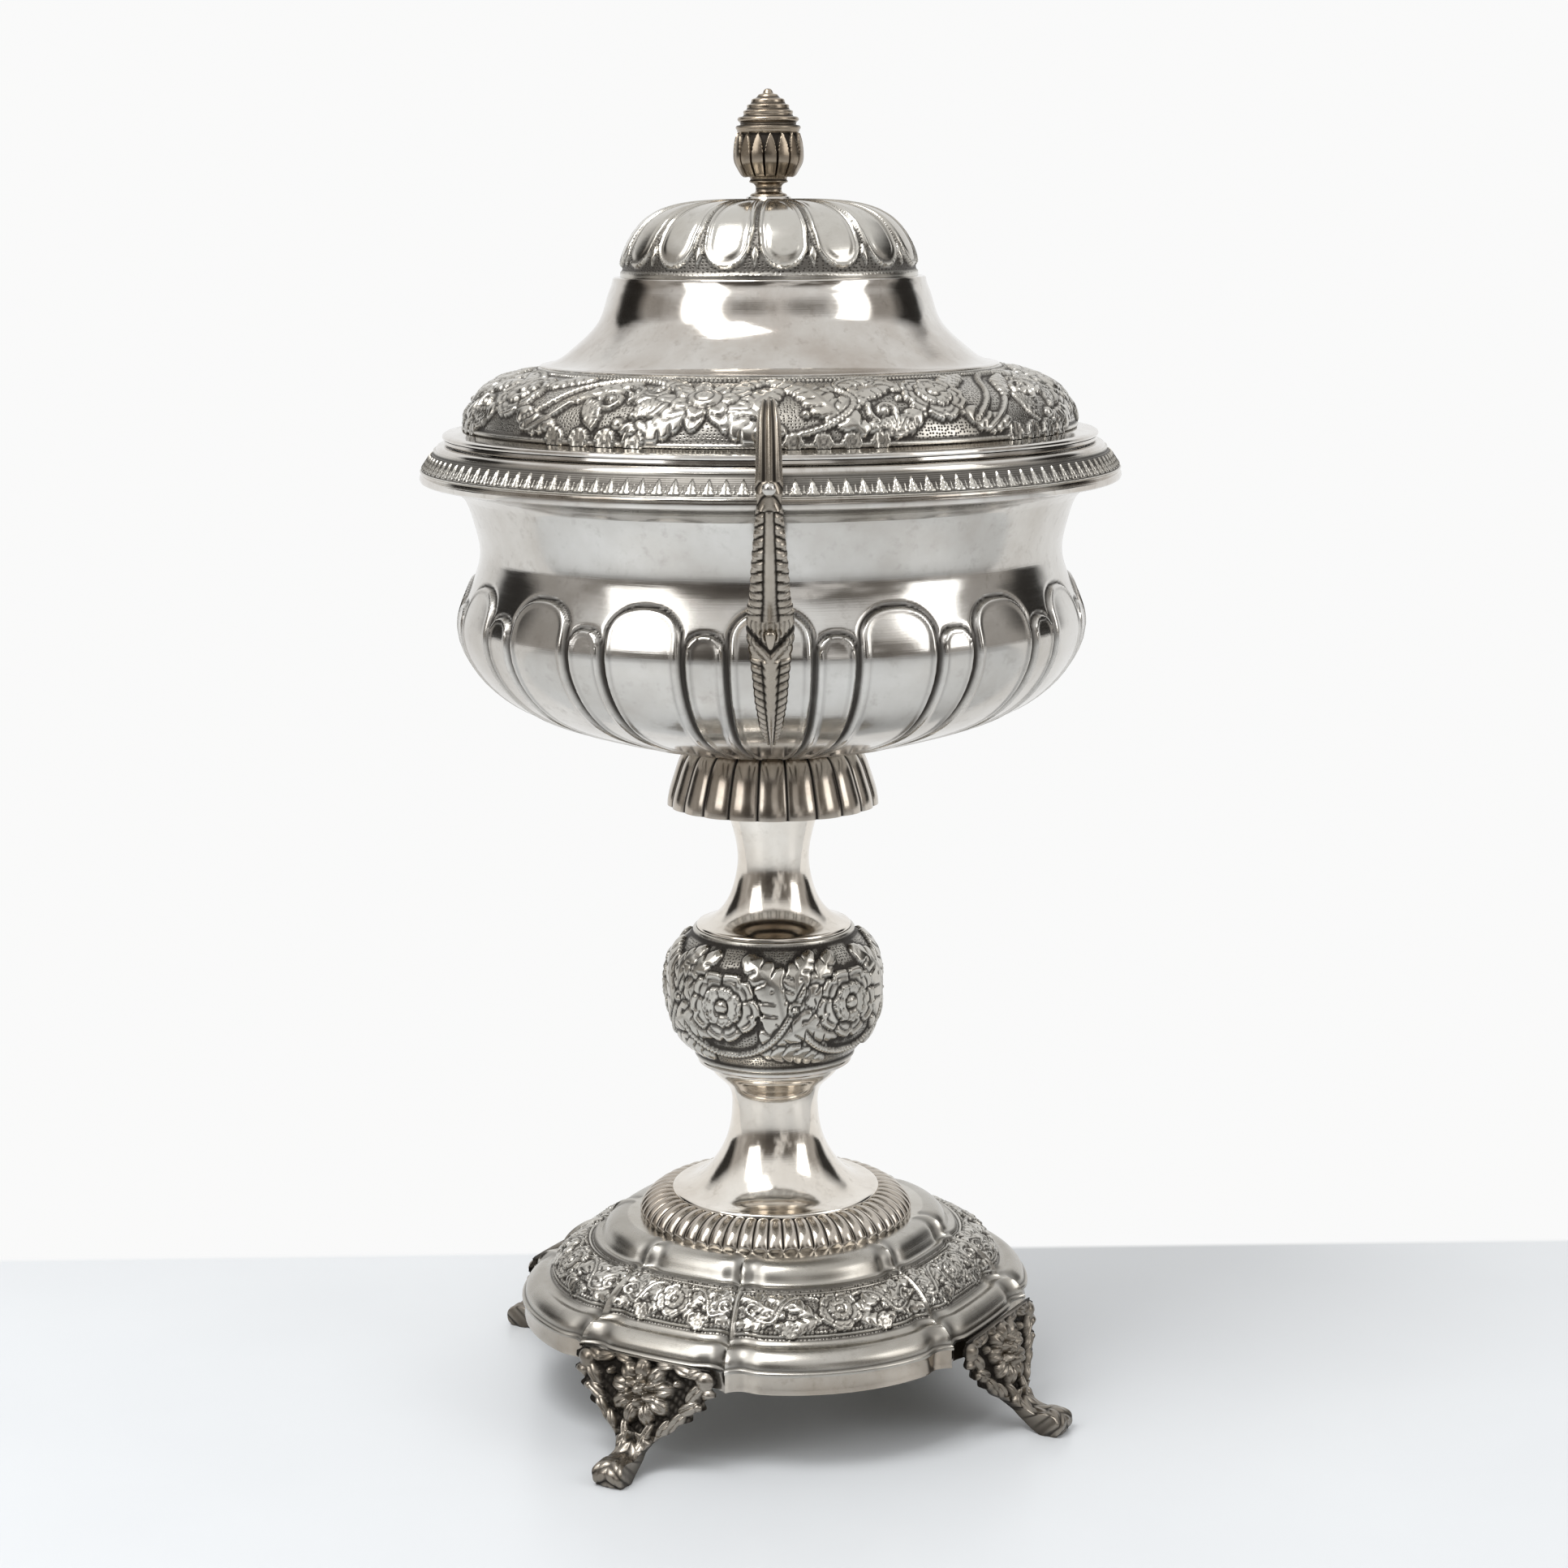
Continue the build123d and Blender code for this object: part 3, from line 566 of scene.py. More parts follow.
def mixed(tree, share, low, high, blend="MIX"):
    """Colour mix; low and high are sockets or colours."""
    node = tree.nodes.new("ShaderNodeMix")
    node.data_type = "RGBA"
    node.blend_type = blend
    for socket, value in ((node.inputs[0], share), (node.inputs[6], low), (node.inputs[7], high)):
        if isinstance(value, bpy.types.NodeSocket):
            tree.links.new(value, socket)
        else:
            socket.default_value = value
    return node.outputs[2]


def sums(tree, operation, first, second):
    node = tree.nodes.new("ShaderNodeMath")
    node.operation = operation
    for socket, value in zip(node.inputs, (first, second)):
        if isinstance(value, bpy.types.NodeSocket):
            tree.links.new(value, socket)
        else:
            socket.default_value = value
    return node.outputs[0]


def silver(name, bright, shade, oxide=(0.060, 0.054, 0.048), gloss=0.16, dull=0.34, brush=0.10,
           tarnish=0.5, punched=False, worked=True):
    """Worked silver: brushed polish, warm tarnish in clouds, black oxide in the low places.

    Colour runs from bright to shade by a cloudy noise, then to oxide where the piece's own
    relief is hemmed in. Polishing lines run round the piece, and the sunk ground is punched.
    """
    material, tree, out = node_tree(name)
    link = tree.links.new
    shader = add(tree, "ShaderNodeBsdfPrincipled", in_Metallic=1.0)
    place = add(tree, "ShaderNodeTexCoord").outputs["Object"]
    clouds = add(tree, "ShaderNodeTexNoise", in_Scale=26.0, in_Detail=6.0, in_Roughness=0.62)
    link(place, clouds.inputs["Vector"])
    specks = add(tree, "ShaderNodeTexNoise", in_Scale=240.0, in_Detail=4.0, in_Roughness=0.7)
    link(place, specks.inputs["Vector"])
    lines_at = add(tree, "ShaderNodeMapping", in_Scale=(60.0, 60.0, 2600.0))
    link(place, lines_at.inputs["Vector"])
    lines = add(tree, "ShaderNodeTexNoise", in_Scale=1.0, in_Detail=3.0, in_Roughness=0.6)
    link(lines_at.outputs[0], lines.inputs["Vector"])
    cloud = ramp(tree, clouds.outputs[0], [(0.38, grey(0)), (0.72, grey(tarnish))])
    speck = ramp(tree, specks.outputs[0], [(0.55, grey(0)), (0.78, grey(0.55 * tarnish))])
    colour = mixed(tree, cloud, (*bright, 1), (*shade, 1))
    colour = mixed(tree, speck, colour, (*[0.72 * c for c in shade], 1))
    rough = ramp(tree, clouds.outputs[0], [(0.30, grey(gloss)), (0.75, grey(0.5 * (gloss + dull)))])
    brushed = ramp(tree, lines.outputs[0], [(0.35, grey(0)), (0.8, grey(0.5))])
    rough = mixed(tree, brushed, rough, grey(dull))
    height = sums(tree, "MULTIPLY", lines.outputs[0], brush)
    height = sums(tree, "ADD", height, sums(tree, "MULTIPLY", specks.outputs[0], 0.35 * brush))
    if worked:
        low = add(tree, "ShaderNodeAttribute", attribute_name="oxide").outputs["Fac"]
        uneven = sums(tree, "ADD", sums(tree, "MULTIPLY", clouds.outputs[0], 0.5), 0.72)
        dark = sums(tree, "MULTIPLY", low, uneven)
        if punched:
            sunk = add(tree, "ShaderNodeAttribute", attribute_name="ground").outputs["Fac"]
            sheet_at = add(tree, "ShaderNodeUVMap", uv_map="sheet_mm").outputs[0]
            dots = add(tree, "ShaderNodeTexVoronoi", in_Scale=1.15, in_Randomness=0.55,
                       voronoi_dimensions="2D")
            link(sheet_at, dots.inputs["Vector"])
            pits = ramp(tree, dots.outputs["Distance"], [(0.20, grey(0)), (0.36, grey(1))])
            pit = sums(tree, "MULTIPLY", sums(tree, "SUBTRACT", 1.0, pits), sunk)
            height = sums(tree, "SUBTRACT", height, sums(tree, "MULTIPLY", pit, 2.4))
            dark = sums(tree, "MAXIMUM", sums(tree, "MULTIPLY", dark, 0.86),
                        sums(tree, "MULTIPLY", pit, 0.95))
        dark = ramp(tree, dark, [(0.05, grey(0)), (0.85, grey(1))])
        colour = mixed(tree, dark, colour, (*oxide, 1))
        rough = mixed(tree, dark, rough, grey(0.55))
    bump = add(tree, "ShaderNodeBump", in_Strength=0.32, in_Distance=0.00022)
    link(height, bump.inputs["Height"])
    link(colour, shader.inputs["Base Color"])
    link(rough, shader.inputs["Roughness"])
    link(bump.outputs[0], shader.inputs["Normal"])
    link(shader.outputs[0], out.inputs[0])
    return material


polished = (silver("silver_spun_polished", (0.70, 0.68, 0.645), (0.40, 0.345, 0.29), gloss=0.07,
                   dull=0.20, brush=0.14, tarnish=0.85, worked=False), "silver_sheet")
spun_warm = (silver("silver_spun_warm", (0.86, 0.82, 0.755), (0.56, 0.49, 0.41), gloss=0.08,
                    dull=0.20, brush=0.12, tarnish=0.75, worked=False), "silver_sheet")
raised = (silver("silver_raised_lobes", (0.66, 0.645, 0.615), (0.42, 0.385, 0.34), gloss=0.10,
                 dull=0.24, brush=0.20, tarnish=0.75), "silver_raised")
fluted = (silver("silver_fluted_warm", (0.56, 0.515, 0.455), (0.34, 0.28, 0.22), gloss=0.13,
                 dull=0.28, tarnish=0.95), "silver_raised")
chased = (silver("silver_chased_oxidised", (0.60, 0.58, 0.535), (0.38, 0.345, 0.29), gloss=0.14,
                 dull=0.30, tarnish=0.8, punched=True), "silver_chased")
apron_silver = (silver("silver_apron_brown", (0.55, 0.51, 0.455), (0.32, 0.27, 0.215), gloss=0.14,
                       dull=0.30, tarnish=1.0, worked=False), "silver_chased")
cast = (silver("silver_cast_dark", (0.34, 0.31, 0.27), (0.16, 0.135, 0.105), gloss=0.22, dull=0.42,
               oxide=(0.022, 0.019, 0.016), tarnish=1.0), "silver_cast")
handle_silver = (silver("silver_cast_handle", (0.50, 0.455, 0.395), (0.27, 0.225, 0.17), gloss=0.16,
                        dull=0.32, oxide=(0.035, 0.030, 0.025), tarnish=0.95), "silver_cast")
finial_silver = (silver("silver_finial_brown", (0.40, 0.34, 0.27), (0.22, 0.175, 0.125), gloss=0.17,
                        dull=0.34, oxide=(0.035, 0.030, 0.025), tarnish=1.0), "silver_cast")
steel = silver("steel_turned_dull", (0.52, 0.51, 0.49), (0.34, 0.32, 0.29), gloss=0.34, dull=0.5,
               tarnish=0.8, worked=False)

# ======================= bowl =======================

floor_z = foot_of("bowl_body")
waist_z = top_of("bowl_body")
brim_z = foot_of("rim_lip")
belly_z = floor_z + BELLY_RISE
root_z = brim_z - BRIM_SLOPE
belly_points = [
    (FLOOR_R, floor_z), (0.62 * BELLY_R, floor_z + 0.17 * BELLY_RISE),
    (0.83 * BELLY_R, floor_z + 0.38 * BELLY_RISE), (0.955 * BELLY_R, floor_z + 0.67 * BELLY_RISE),
    (BELLY_R, belly_z), (NECK_R + 2.9, 0.5 * (belly_z + waist_z)), (NECK_R, waist_z),
    (NECK_R + 1.5, 0.5 * (waist_z + root_z)), (BRIM_ROOT_R, root_z), (BRIM_R, brim_z)]
bowl_line = smooth(belly_points, 900, (1, 0), (0.97, 0.24))
lobe_top_at = np.interp([WIDE_LOBE_TOP, NARROW_LOBE_TOP], bowl_line[:, 1], run_length(bowl_line))


def bowl_lobes(angles, length, line):
    """Sixteen wide and sixteen narrow round-topped lobes.

    With x across a lobe and y along the profile, the edge is where (|x| / w) and, above the
    cap's start, ((y - cap) / rise) reach 1 together in a 2.3 power sum. Inside it the sheet
    stands out with a rolled rim; on it runs a tooled groove.
    """
    radius = line[:, :1]
    y = length[:, None]
    depth = np.full((len(line), len(angles)), -9.0)
    for first, half, top, rise in ((0, 7.15, lobe_top_at[0], 9.0),
                                   (LOBE_PITCH / 2, 3.45, lobe_top_at[1], 5.2)):
        x = radius * from_middle(angles, first, LOBE_PITCH)[None, :]
        w = radius * math.radians(half)
        cap = np.clip((y - (top - rise)) / rise, 0, None)
        reach = ((np.abs(x) / w) ** 2.3 + cap ** 2.3) ** (1 / 2.3)
        depth = np.maximum(depth, (1 - reach) * np.minimum(w, rise))
    inside = step(-0.15, 0.9, depth)
    low_part = step(0, 6, lobe_top_at[0] + 3 - y)
    pad = 0.55 * inside + 0.30 * bell(depth - 1.15, 0.6)
    groove = bell(depth + 0.15, 0.55)
    between = step(0.2, 0.8, -depth) * step(0, 3, lobe_top_at[1] - 2 - y)
    height = pad * low_part - 0.50 * groove - 0.35 * between
    oxide = np.clip(0.95 * groove + 0.5 * between + 0.25 * bell(depth - 1.9, 0.5), 0, 1)
    fade = step(1.5, 5, y - bowl_line[0, 0] + FLOOR_R - 2)
    return height * fade, oxide * fade, 0 * oxide


run = run_length(bowl_line)[-1]
rows_low = np.linspace(0, lobe_top_at[1] - 8, 26)[:-1]
rows_caps = np.linspace(lobe_top_at[1] - 8, lobe_top_at[0] + 3, 30)[:-1]
rows_neck = np.linspace(lobe_top_at[0] + 3, run, 16)
belly_line = walk(bowl_line, np.concatenate([rows_low, rows_caps, rows_neck]))
belly_in = lining(belly_line, SHEET, 22)
belly_in = np.concatenate([belly_in, [[BOSS_SPIGOT, floor_z + SHEET], [BOSS_SPIGOT, floor_z]]])
belly_in[:, 0] = np.maximum(belly_in[:, 0], BOSS_SPIGOT)
piece = crisp(turned_piece("bowl_wall", belly_line, belly_in, 960, relief=bowl_lobes), 45)
placed(piece, "bowl", raised, ("bowl_body", "bowl_neck"))

# rim: lip ring, leaf band, bead wire
lip_top, leaf_top, seat_z = top_of("rim_lip"), top_of("leaf_band"), top_of("rim_wire")


def solid_ring(name, points, around, body, finish, nodes):
    """Ring turned from a closed outline of (radius, height) points."""
    line = np.asarray(points, float)
    piece = crisp(turned_piece(name, line[:-2], line[-2:], around))
    return placed(piece, body, finish, nodes)


solid_ring("lip_ring", [(BRIM_R + 0.3, brim_z)]
           + beside(LIP_R, brim_z, (-0.9, 0), (-0.25, 0.35), (0, 1.0), (-0.1, 1.8), (-0.7, 2.3),
                    (-0.3, 2.7))
           + [(LIP_R - 0.6, lip_top), (BRIM_R + 0.3, lip_top),
              (BRIM_R + 0.3, 0.5 * (brim_z + lip_top))],
           RING_AROUND, "bowl", polished, ("rim_lip",))

LEAVES = 138


def palmettes(angles, length, line):
    """Row of small upright palmettes with pins between them, on a dark ground.

    A palmette narrows upwards with scalloped sides and a raised rib; a pin is a thin stem
    with a ball on it. A plain border runs along both edges.
    """
    run_ = length[-1]
    t = (length / run_)[:, None]
    pitch = TAU / LEAVES * line[:, :1].mean()
    x = (LEAVES * azimuth(angles)[None, :] / TAU % 1 - 0.5) * pitch
    y = (t - 0.10) / 0.66
    spread = np.clip(1 - y, 0, 1) ** 0.75 * (0.72 + 0.28 * np.abs(np.sin(3.4 * math.pi * y)))
    outline = 0.40 * pitch * spread
    inside = step(-0.02, 0.10, outline - np.abs(x)) * (y > 0) * (y < 1)
    rib = bell(x, 0.16)
    leaf = inside * (0.26 + 0.16 * rib + 0.08 * np.abs(np.sin(3.4 * math.pi * y)))
    edge_x = pitch / 2 - np.abs(x)
    ball = np.sqrt(np.clip(1 - (edge_x / 0.30) ** 2 - ((y - 0.20) * run_ * 0.66 / 0.30) ** 2, 0, 1))
    pin = (edge_x < 0.14) * (y > 0.24) * (y < 0.62) * 0.14
    hatch = 0.05 * np.sin(TAU * t * 11) * (1 - inside)
    border = np.maximum(step(0.93, 0.98, t), 1 - step(0.03, 0.08, t)) * 0.30
    height = np.maximum.reduce([leaf, 0.26 * ball, pin, border + 0 * x]) + hatch
    oxide = np.clip(0.92 - height / 0.24, 0, 1)
    return height - 0.36, oxide, 0 * oxide


leaf_rows = np.linspace([LIP_R - 0.1, lip_top], [LEAF_TOP_R, leaf_top], 25)
leaf_back = np.array([[LEAF_TOP_R - 0.6, leaf_top], [LIP_R - 0.7, lip_top]])
piece = crisp(turned_piece("leaf_border", leaf_rows, leaf_back, LEAVES * 24, relief=palmettes), 60)
placed(piece, "bowl", chased, ("leaf_band",))
solid_ring("seat_wire", beside(LEAF_TOP_R, leaf_top, (-0.6, 0), (-0.75, 0.5))
           + beside(LEAF_TOP_R, seat_z, (-1.1, -0.25), (-1.7, 0))
           + beside(SEAT_IN_R, seat_z, (0.9, 0), (0.2, -0.4)) + [(SEAT_IN_R, leaf_top)],
           RING_AROUND, "bowl", polished, ("rim_wire",))

# calyx
calyx_foot, calyx_top = foot_of("calyx"), top_of("calyx")
calyx_h = calyx_top - calyx_foot
calyx_line = smooth([(CALYX_R, calyx_foot), (CALYX_R - 1.7, calyx_top - 0.55 * calyx_h),
                     (CALYX_TOP_R, calyx_top)], 40, (0, 1), (-1, 0.25))
calyx_line = np.concatenate([calyx_line, [[18, calyx_top], [12.5, calyx_top]]])


def flutes(count, high, sink, ends, dark=0.20):
    """Convex flutes: height is |cos| of half the count times the angle, to the 0.55."""
    def relief(angles, length, line):
        wave = np.abs(np.cos(count * azimuth(angles) / 2))[None, :]
        share = (length / length[-1])[:, None]
        fade = step(0, ends[0], share + 1e-6) * step(0, ends[1], 1 - share)
        height = (high * wave ** 0.55 - sink) * fade
        oxide = bell(wave, dark) * fade
        return height, oxide, 0 * oxide
    return relief


piece = crisp(turned_piece("calyx_fluted", calyx_line, lining(calyx_line, SHEET, 12), 880,
                           relief=flutes(22, 0.95, 0.75, (1e-6, 0.42))), 55)
placed(piece, "bowl", fluted, ("calyx",))

# ======================= stem and knop =======================

platform_z = top_of("base_shell")
gadroon_top = top_of("gadroon_ring")
stem_top = top_of("lower_stem")
stem_h = stem_top - gadroon_top
gadroon_line = smooth([(GADROON_R, platform_z),
                       (STEM_FOOT_R + 0.62 * (GADROON_R - STEM_FOOT_R),
                        gadroon_top - 0.24 * (gadroon_top - platform_z)),
                       (STEM_FOOT_R, gadroon_top)], 34, (0, 1), (-1, 0))
gadroon_line = np.concatenate([gadroon_line, [[27.5, gadroon_top], [26.2, gadroon_top]]])
piece = crisp(turned_piece("gadroon_collar", gadroon_line, lining(gadroon_line, SHEET, 8), 56 * 24,
                           relief=flutes(56, 0.95, 0.62, (0.08, 0.30), 0.26)), 60)
placed(piece, "base", fluted, ("gadroon_ring",))

plain("stem_foot_spool",
      beside(STEM_FOOT_R, gadroon_top, (0, 0.05), (-0.15, 0.7), (-1.5, SHEET + 0.1))
      + beside(LOWER_WAIST_R, gadroon_top, (6.6, 6.2), (1.4, 0.41 * stem_h), (0, 0.64 * stem_h),
               (0.9, 0.80 * stem_h)) + [(LOWER_HEAD_R, stem_top)],
      110, "base", ("lower_stem",), spun_warm)
knop_low, knop_top = foot_of("knop"), top_of("knop")
ring_low = foot_of("knop_ring")
solid_ring("knop_washer", [(5, ring_low)] + beside(KNOP_RING_R, ring_low, (-0.6, 0), (0, 0.5))
           + beside(KNOP_RING_R, knop_low, (0, -0.5), (-0.4, 0))
           + [(5, knop_low), (5, 0.5 * (ring_low + knop_low))],
           256, "base", polished, ("knop_ring",))
knop_h = knop_top - knop_low
knop_line = smooth(
    [(KNOP_MOUTH_R, knop_low)]
    + beside(KNOP_R, knop_low, (-0.9, 0.30 * knop_h), (0, 0.53 * knop_h), (-1.2, 0.80 * knop_h))
    + [(KNOP_MOUTH_R, knop_top)], 400)
knop_rows = walk(knop_line, np.linspace(0, run_length(knop_line)[-1], 94))
upper_top = top_of("upper_stem")
upper_h = upper_top - knop_top
plain("stem_head_spool",
      beside(UPPER_FOOT_R, knop_top, (0, 0.05), (-0.1, 0.7), (-0.8, SHEET))
      + beside(UPPER_WAIST_R, knop_top, (4.6, 4.8), (0.6, 0.28 * upper_h), (0, 0.39 * upper_h),
               (1.6, 0.57 * upper_h)) + [(UPPER_HEAD_R, upper_top)],
      120, "base", ("upper_stem",), spun_warm)


def tiled(build, times, first, rim=0.35):
    """Relief made of one chased tile, repeated round the piece from azimuth `first`."""
    def relief(angles, length, line):
        columns = len(angles) // times
        period = TAU / times * float(line[:, 0].mean())
        tile = Chasing(np.arange(columns) / columns * period, length)
        build(tile, period, float(length[-1]))
        height, oxide, ground = tile.finished(period / columns, rim)
        shift = round((math.radians(first) - math.pi / 2) / TAU * len(angles))
        return tuple(repeated(field, times, shift) for field in (height, oxide, ground))
    return relief


def knop_flowers(tile, p, h):
    """One rose, a beaded stem that sweeps under it and over the next, and four leaves."""
    tile.line_round(1.0, 1.3, 0.5)
    tile.line_round(h - 1.0, 1.3, 0.5)
    tile.leaf([(12, 11), (16, 19), (14, 29), (7, 36)], 12, 0.85, lobes=8)
    tile.leaf([(-8, 10), (-13, 18), (-12, 28), (-4, 37)], 8.5, 0.75, lobes=8)
    tile.leaf([(15, 15), (21, 18), (29, 15)], 9, 0.8, lobes=5)
    tile.leaf([(12, 9), (19, 9), (27, 6)], 7, 0.7, lobes=5)
    tile.leaf([(20, 27), (25, 26), (31, 21)], 7, 0.7, lobes=4)
    tile.leaf([(19, 24), (19, 32), (24, 38)], 7, 0.7, lobes=5)
    tile.stem(smooth([(-15, 36), (-16, 24), (-10, 12), (0, 8), (10, 11), (17, 20), (23, 31),
                      (32, 38)], 60), 1.6, 1.0, bead=1.1)
    tile.volute(18.5, 22.5, 1.9, 1.0, 1.0, 0.9, 0.9)
    tile.rose(0, 23, 10.0, 1.5, petals=5)


piece = crisp(turned_piece("knop_chased", knop_rows, lining(knop_rows, SHEET, 10), 960,
                           relief=tiled(knop_flowers, 5, -28.0)), 70)
placed(piece, "base", chased, ("knop",))

# ======================= base =======================

def panel_turn(angles):
    """Angle from the nearest bulge's middle, and degrees from the nearest panel corner."""
    turn = (azimuth(angles) - BASE_TURN + math.pi / 4) % (math.pi / 2) - math.pi / 4
    return turn, np.degrees(np.abs(np.abs(turn) - BULGE_HALF))


def panel_plan(angles):
    """Radius of the eight-panel outline against the middle of its bulges.

    Each panel is an arc of a circle through its two corners and its middle: its radius at an
    angle a from the middle is c cos a + sqrt(R^2 - c^2 sin^2 a), the circle's middle at c.
    A sharp ridge stands on each corner, with a hollow on either side of it.
    """
    turn, corner = panel_turn(angles)
    other = (turn + math.pi / 2) % (math.pi / 2) - math.pi / 4
    out = np.zeros_like(angles)
    for offset, half, middle, mask in ((turn, BULGE_HALF, 1.0, np.abs(turn) <= BULGE_HALF + 1e-9),
                                       (other, math.pi / 4 - BULGE_HALF, STRAIGHT_SHARE,
                                        np.abs(turn) > BULGE_HALF + 1e-9)):
        cx, cy = CORNER_SHARE * math.cos(half), CORNER_SHARE * math.sin(half)
        c = (middle ** 2 - cx ** 2 - cy ** 2) / (2 * (middle - cx))
        big = middle - c
        ray = c * np.cos(offset) + np.sqrt(np.clip(big ** 2 - (c * np.sin(offset)) ** 2, 0, None))
        out = np.where(mask, ray, out)
    ridge = 0.022 * np.exp(-(corner / 0.9)) - 0.017 * bell(corner - 3.6, 2.6)
    return out * (1 + ridge)


def base_plan(angles, radius):
    """The eight-panel plan, eased to round inside the gadroon collar."""
    share = step(28.0, 40.0, radius)[:, None]
    return 1 + (panel_plan(angles)[None, :] - 1) * share


apron_low, apron_top = foot_of("base_apron"), top_of("base_apron")
band_low, band_high = apron_top + 7.2, platform_z - 6.2
moulding = smooth(beside(BASE_R, apron_top, (0, 0), (0, 0.7), (-0.9, 1.3)), 7)
torus = smooth(beside(BASE_R, apron_top, (-0.9, 1.3), (-1.3, 2.9), (-2.9, 4.8), (-4.9, 5.8),
                      (-6.6, 5.7), (-7.4, 6.1)) + [(BASE_R - 8.5, band_low)], 22)
band_curve = smooth(beside(BASE_R, band_low, (-8.5, 0), (-10.2, 2.9), (-13.4, 6.0), (-17.0, 8.1))
                    + [(BASE_R - 20.2, band_high)], 300)
shoulder = smooth(beside(BASE_R, band_high, (-20.2, 0), (-21.2, 0.9), (-22.3, 0.5), (-23.2, 1.3),
                         (-24.1, 3.3))
                  + beside(BASE_R, platform_z, (-26.2, -0.7), (-28.5, 0), (-31.5, 0)), 20)
band_rows = walk(band_curve, np.linspace(0, run_length(band_curve)[-1], 48))
base_line = np.concatenate([moulding[:-1], torus[:-1], band_rows, shoulder[1:],
                            [[30, platform_z], [6, platform_z]]])
band_from = len(moulding) + len(torus) - 2


def panel_flowers(tile, p, h):
    """A quarter of the base: a rose in the bulging panel and one over the foot, in scrolls."""
    corner = BULGE_HALF / (math.pi / 2) * p
    half = p / 2
    for edge in (0.9, h - 0.9):
        tile.line_round(edge, 0.5, 0.25)
    tile.pearls(1.9, 0.42, 1.15, 0.42)
    tile.pearls(h - 1.9, 0.42, 1.15, 0.42)
    for cx, side, reach in ((0, 1, corner), (0, -1, corner),
                            (half, 1, half - corner), (half, -1, half - corner)):
        def at(points):
            return [(cx + side * x * reach / 26.0, y) for x, y in points]
        tile.leaf(at([(6, 6), (11, 10.5), (17, 12)]), 5.2, 0.62, lobes=5)
        tile.leaf(at([(5, 5), (10, 3.2), (15, 3.4)]), 4.2, 0.6, lobes=4)
        tile.leaf(at([(14, 7), (19, 9), (24, 11.5)]), 5.0, 0.6, lobes=5)
        tile.leaf(at([(17, 6), (21, 3.6), (25, 3.2)]), 4.4, 0.55, lobes=4)
        tile.stem(smooth(at([(4, 11.5), (9, 12.6), (14, 9), (16.5, 4.5), (21, 5.5),
                             (24.5, 8.5)]), 40), 1.0, 0.75, bead=0.8)
        tile.volute(cx + side * 21.5 * reach / 26, 7.2, 2.4, 0.5, 1.1, 0.8, 0.6)
        tile.bowl_of_petals(cx + side * 12 * reach / 26, 2.2, 2.3, 7, 0.5)
        tile.bowl_of_petals(cx + side * 19.5 * reach / 26, 12.6, 1.9, 7, 0.45)
    tile.rose(1.2, 0.5 * h, 6.1, 1.1)
    tile.rose(half, 0.5 * h, 5.6, 1.05)
    gap = np.minimum(np.abs(tile.near(corner)), np.abs(tile.near(-corner)))
    tile.raise_to(0.5 * np.clip(1 - gap / 0.7, 0, 1), gap < 0.7)


def base_relief(angles, length, line):
    """Chasing on the band's rows only; the mouldings stay plain, dark in their quirks."""
    fields = [np.zeros((len(line), len(angles))) for _ in range(3)]
    band = slice(band_from, band_from + len(band_rows))
    chase = tiled(panel_flowers, 4, math.degrees(BASE_TURN), 0.3)
    made = chase(angles, length[band] - length[band_from], line[band])
    for field, part in zip(fields, made):
        field[band] = part
    plain_rows = np.ones(len(line))
    plain_rows[band] = 0
    corner = panel_turn(angles)[1]
    hollow = 0.26 + 0.34 * bell(corner - 3.2, 2.2) - 0.26 * bell(corner, 0.8)
    fields[1] = fields[1] + (plain_rows * (line[:, 0] > 42))[:, None] * hollow[None, :]
    for quirk in (len(moulding) - 1, band_from - 1, band_from + len(band_rows)):
        near_ = bell(length - length[quirk], 0.45)[:, None]
        fields[1] = np.maximum(fields[1], 0.8 * near_)
    return tuple(fields)


base_in = lining(base_line, 1.2, 14)
piece = crisp(turned_piece("base_mouldings", base_line, base_in, 1080, relief=base_relief,
                           plan=base_plan), 50)
placed(piece, "base", chased, ("base_shell",))
apron_line = np.array(
    beside(APRON_R, apron_low, (-0.8, 0), (-0.1, 0.25), (0, 0.8), (-0.25, 1.6))
    + beside(APRON_R, apron_top, (-0.3, -0.6), (-0.1, 0)))
apron_back = np.array([(APRON_R - 1.2, apron_top), (APRON_R - 1.2, apron_low + 0.2)])
piece = crisp(turned_piece("base_skirt", apron_line, apron_back, 1080, plan=base_plan))
placed(piece, "base", apron_silver, ("base_apron",))

# ======================= lid =======================

lid_low = foot_of("lid_wire")
wire_top = top_of("lid_wire")
brim_top = top_of("lid_brim")
band_top = top_of("lid_band")
dome_low, dome_top = foot_of("lid_dome"), top_of("lid_dome")
solid_ring("lid_wire_ring", beside(LID_BRIM_R, lid_low, (-2.5, 0), (-0.8, 0), (-0.3, 0.5))
           + beside(LID_BRIM_R, wire_top, (-0.45, 0), (-2.5, 0))
           + [(LID_BRIM_R - 2.5, lid_low + 0.6)],
           RING_AROUND, "lid", polished, ("lid_wire",))
solid_ring("lid_brim_ring", [(BEZEL_R - 1, wire_top)]
           + beside(LID_BRIM_R, wire_top, (-0.7, 0), (-0.15, 0.3), (0, 0.7), (-0.15, 1.15),
                    (-0.7, 1.45), (-1.6, 1.6), (-3.6, 1.75))
           + beside(BAND_FOOT_R, brim_top, (0.9, -0.3), (0, 0))
           + [(BEZEL_R - 1, brim_top), (BEZEL_R - 1, wire_top + 1)],
           RING_AROUND, "lid", polished, ("lid_brim",))
bezel_low = foot_of("lid_bezel")
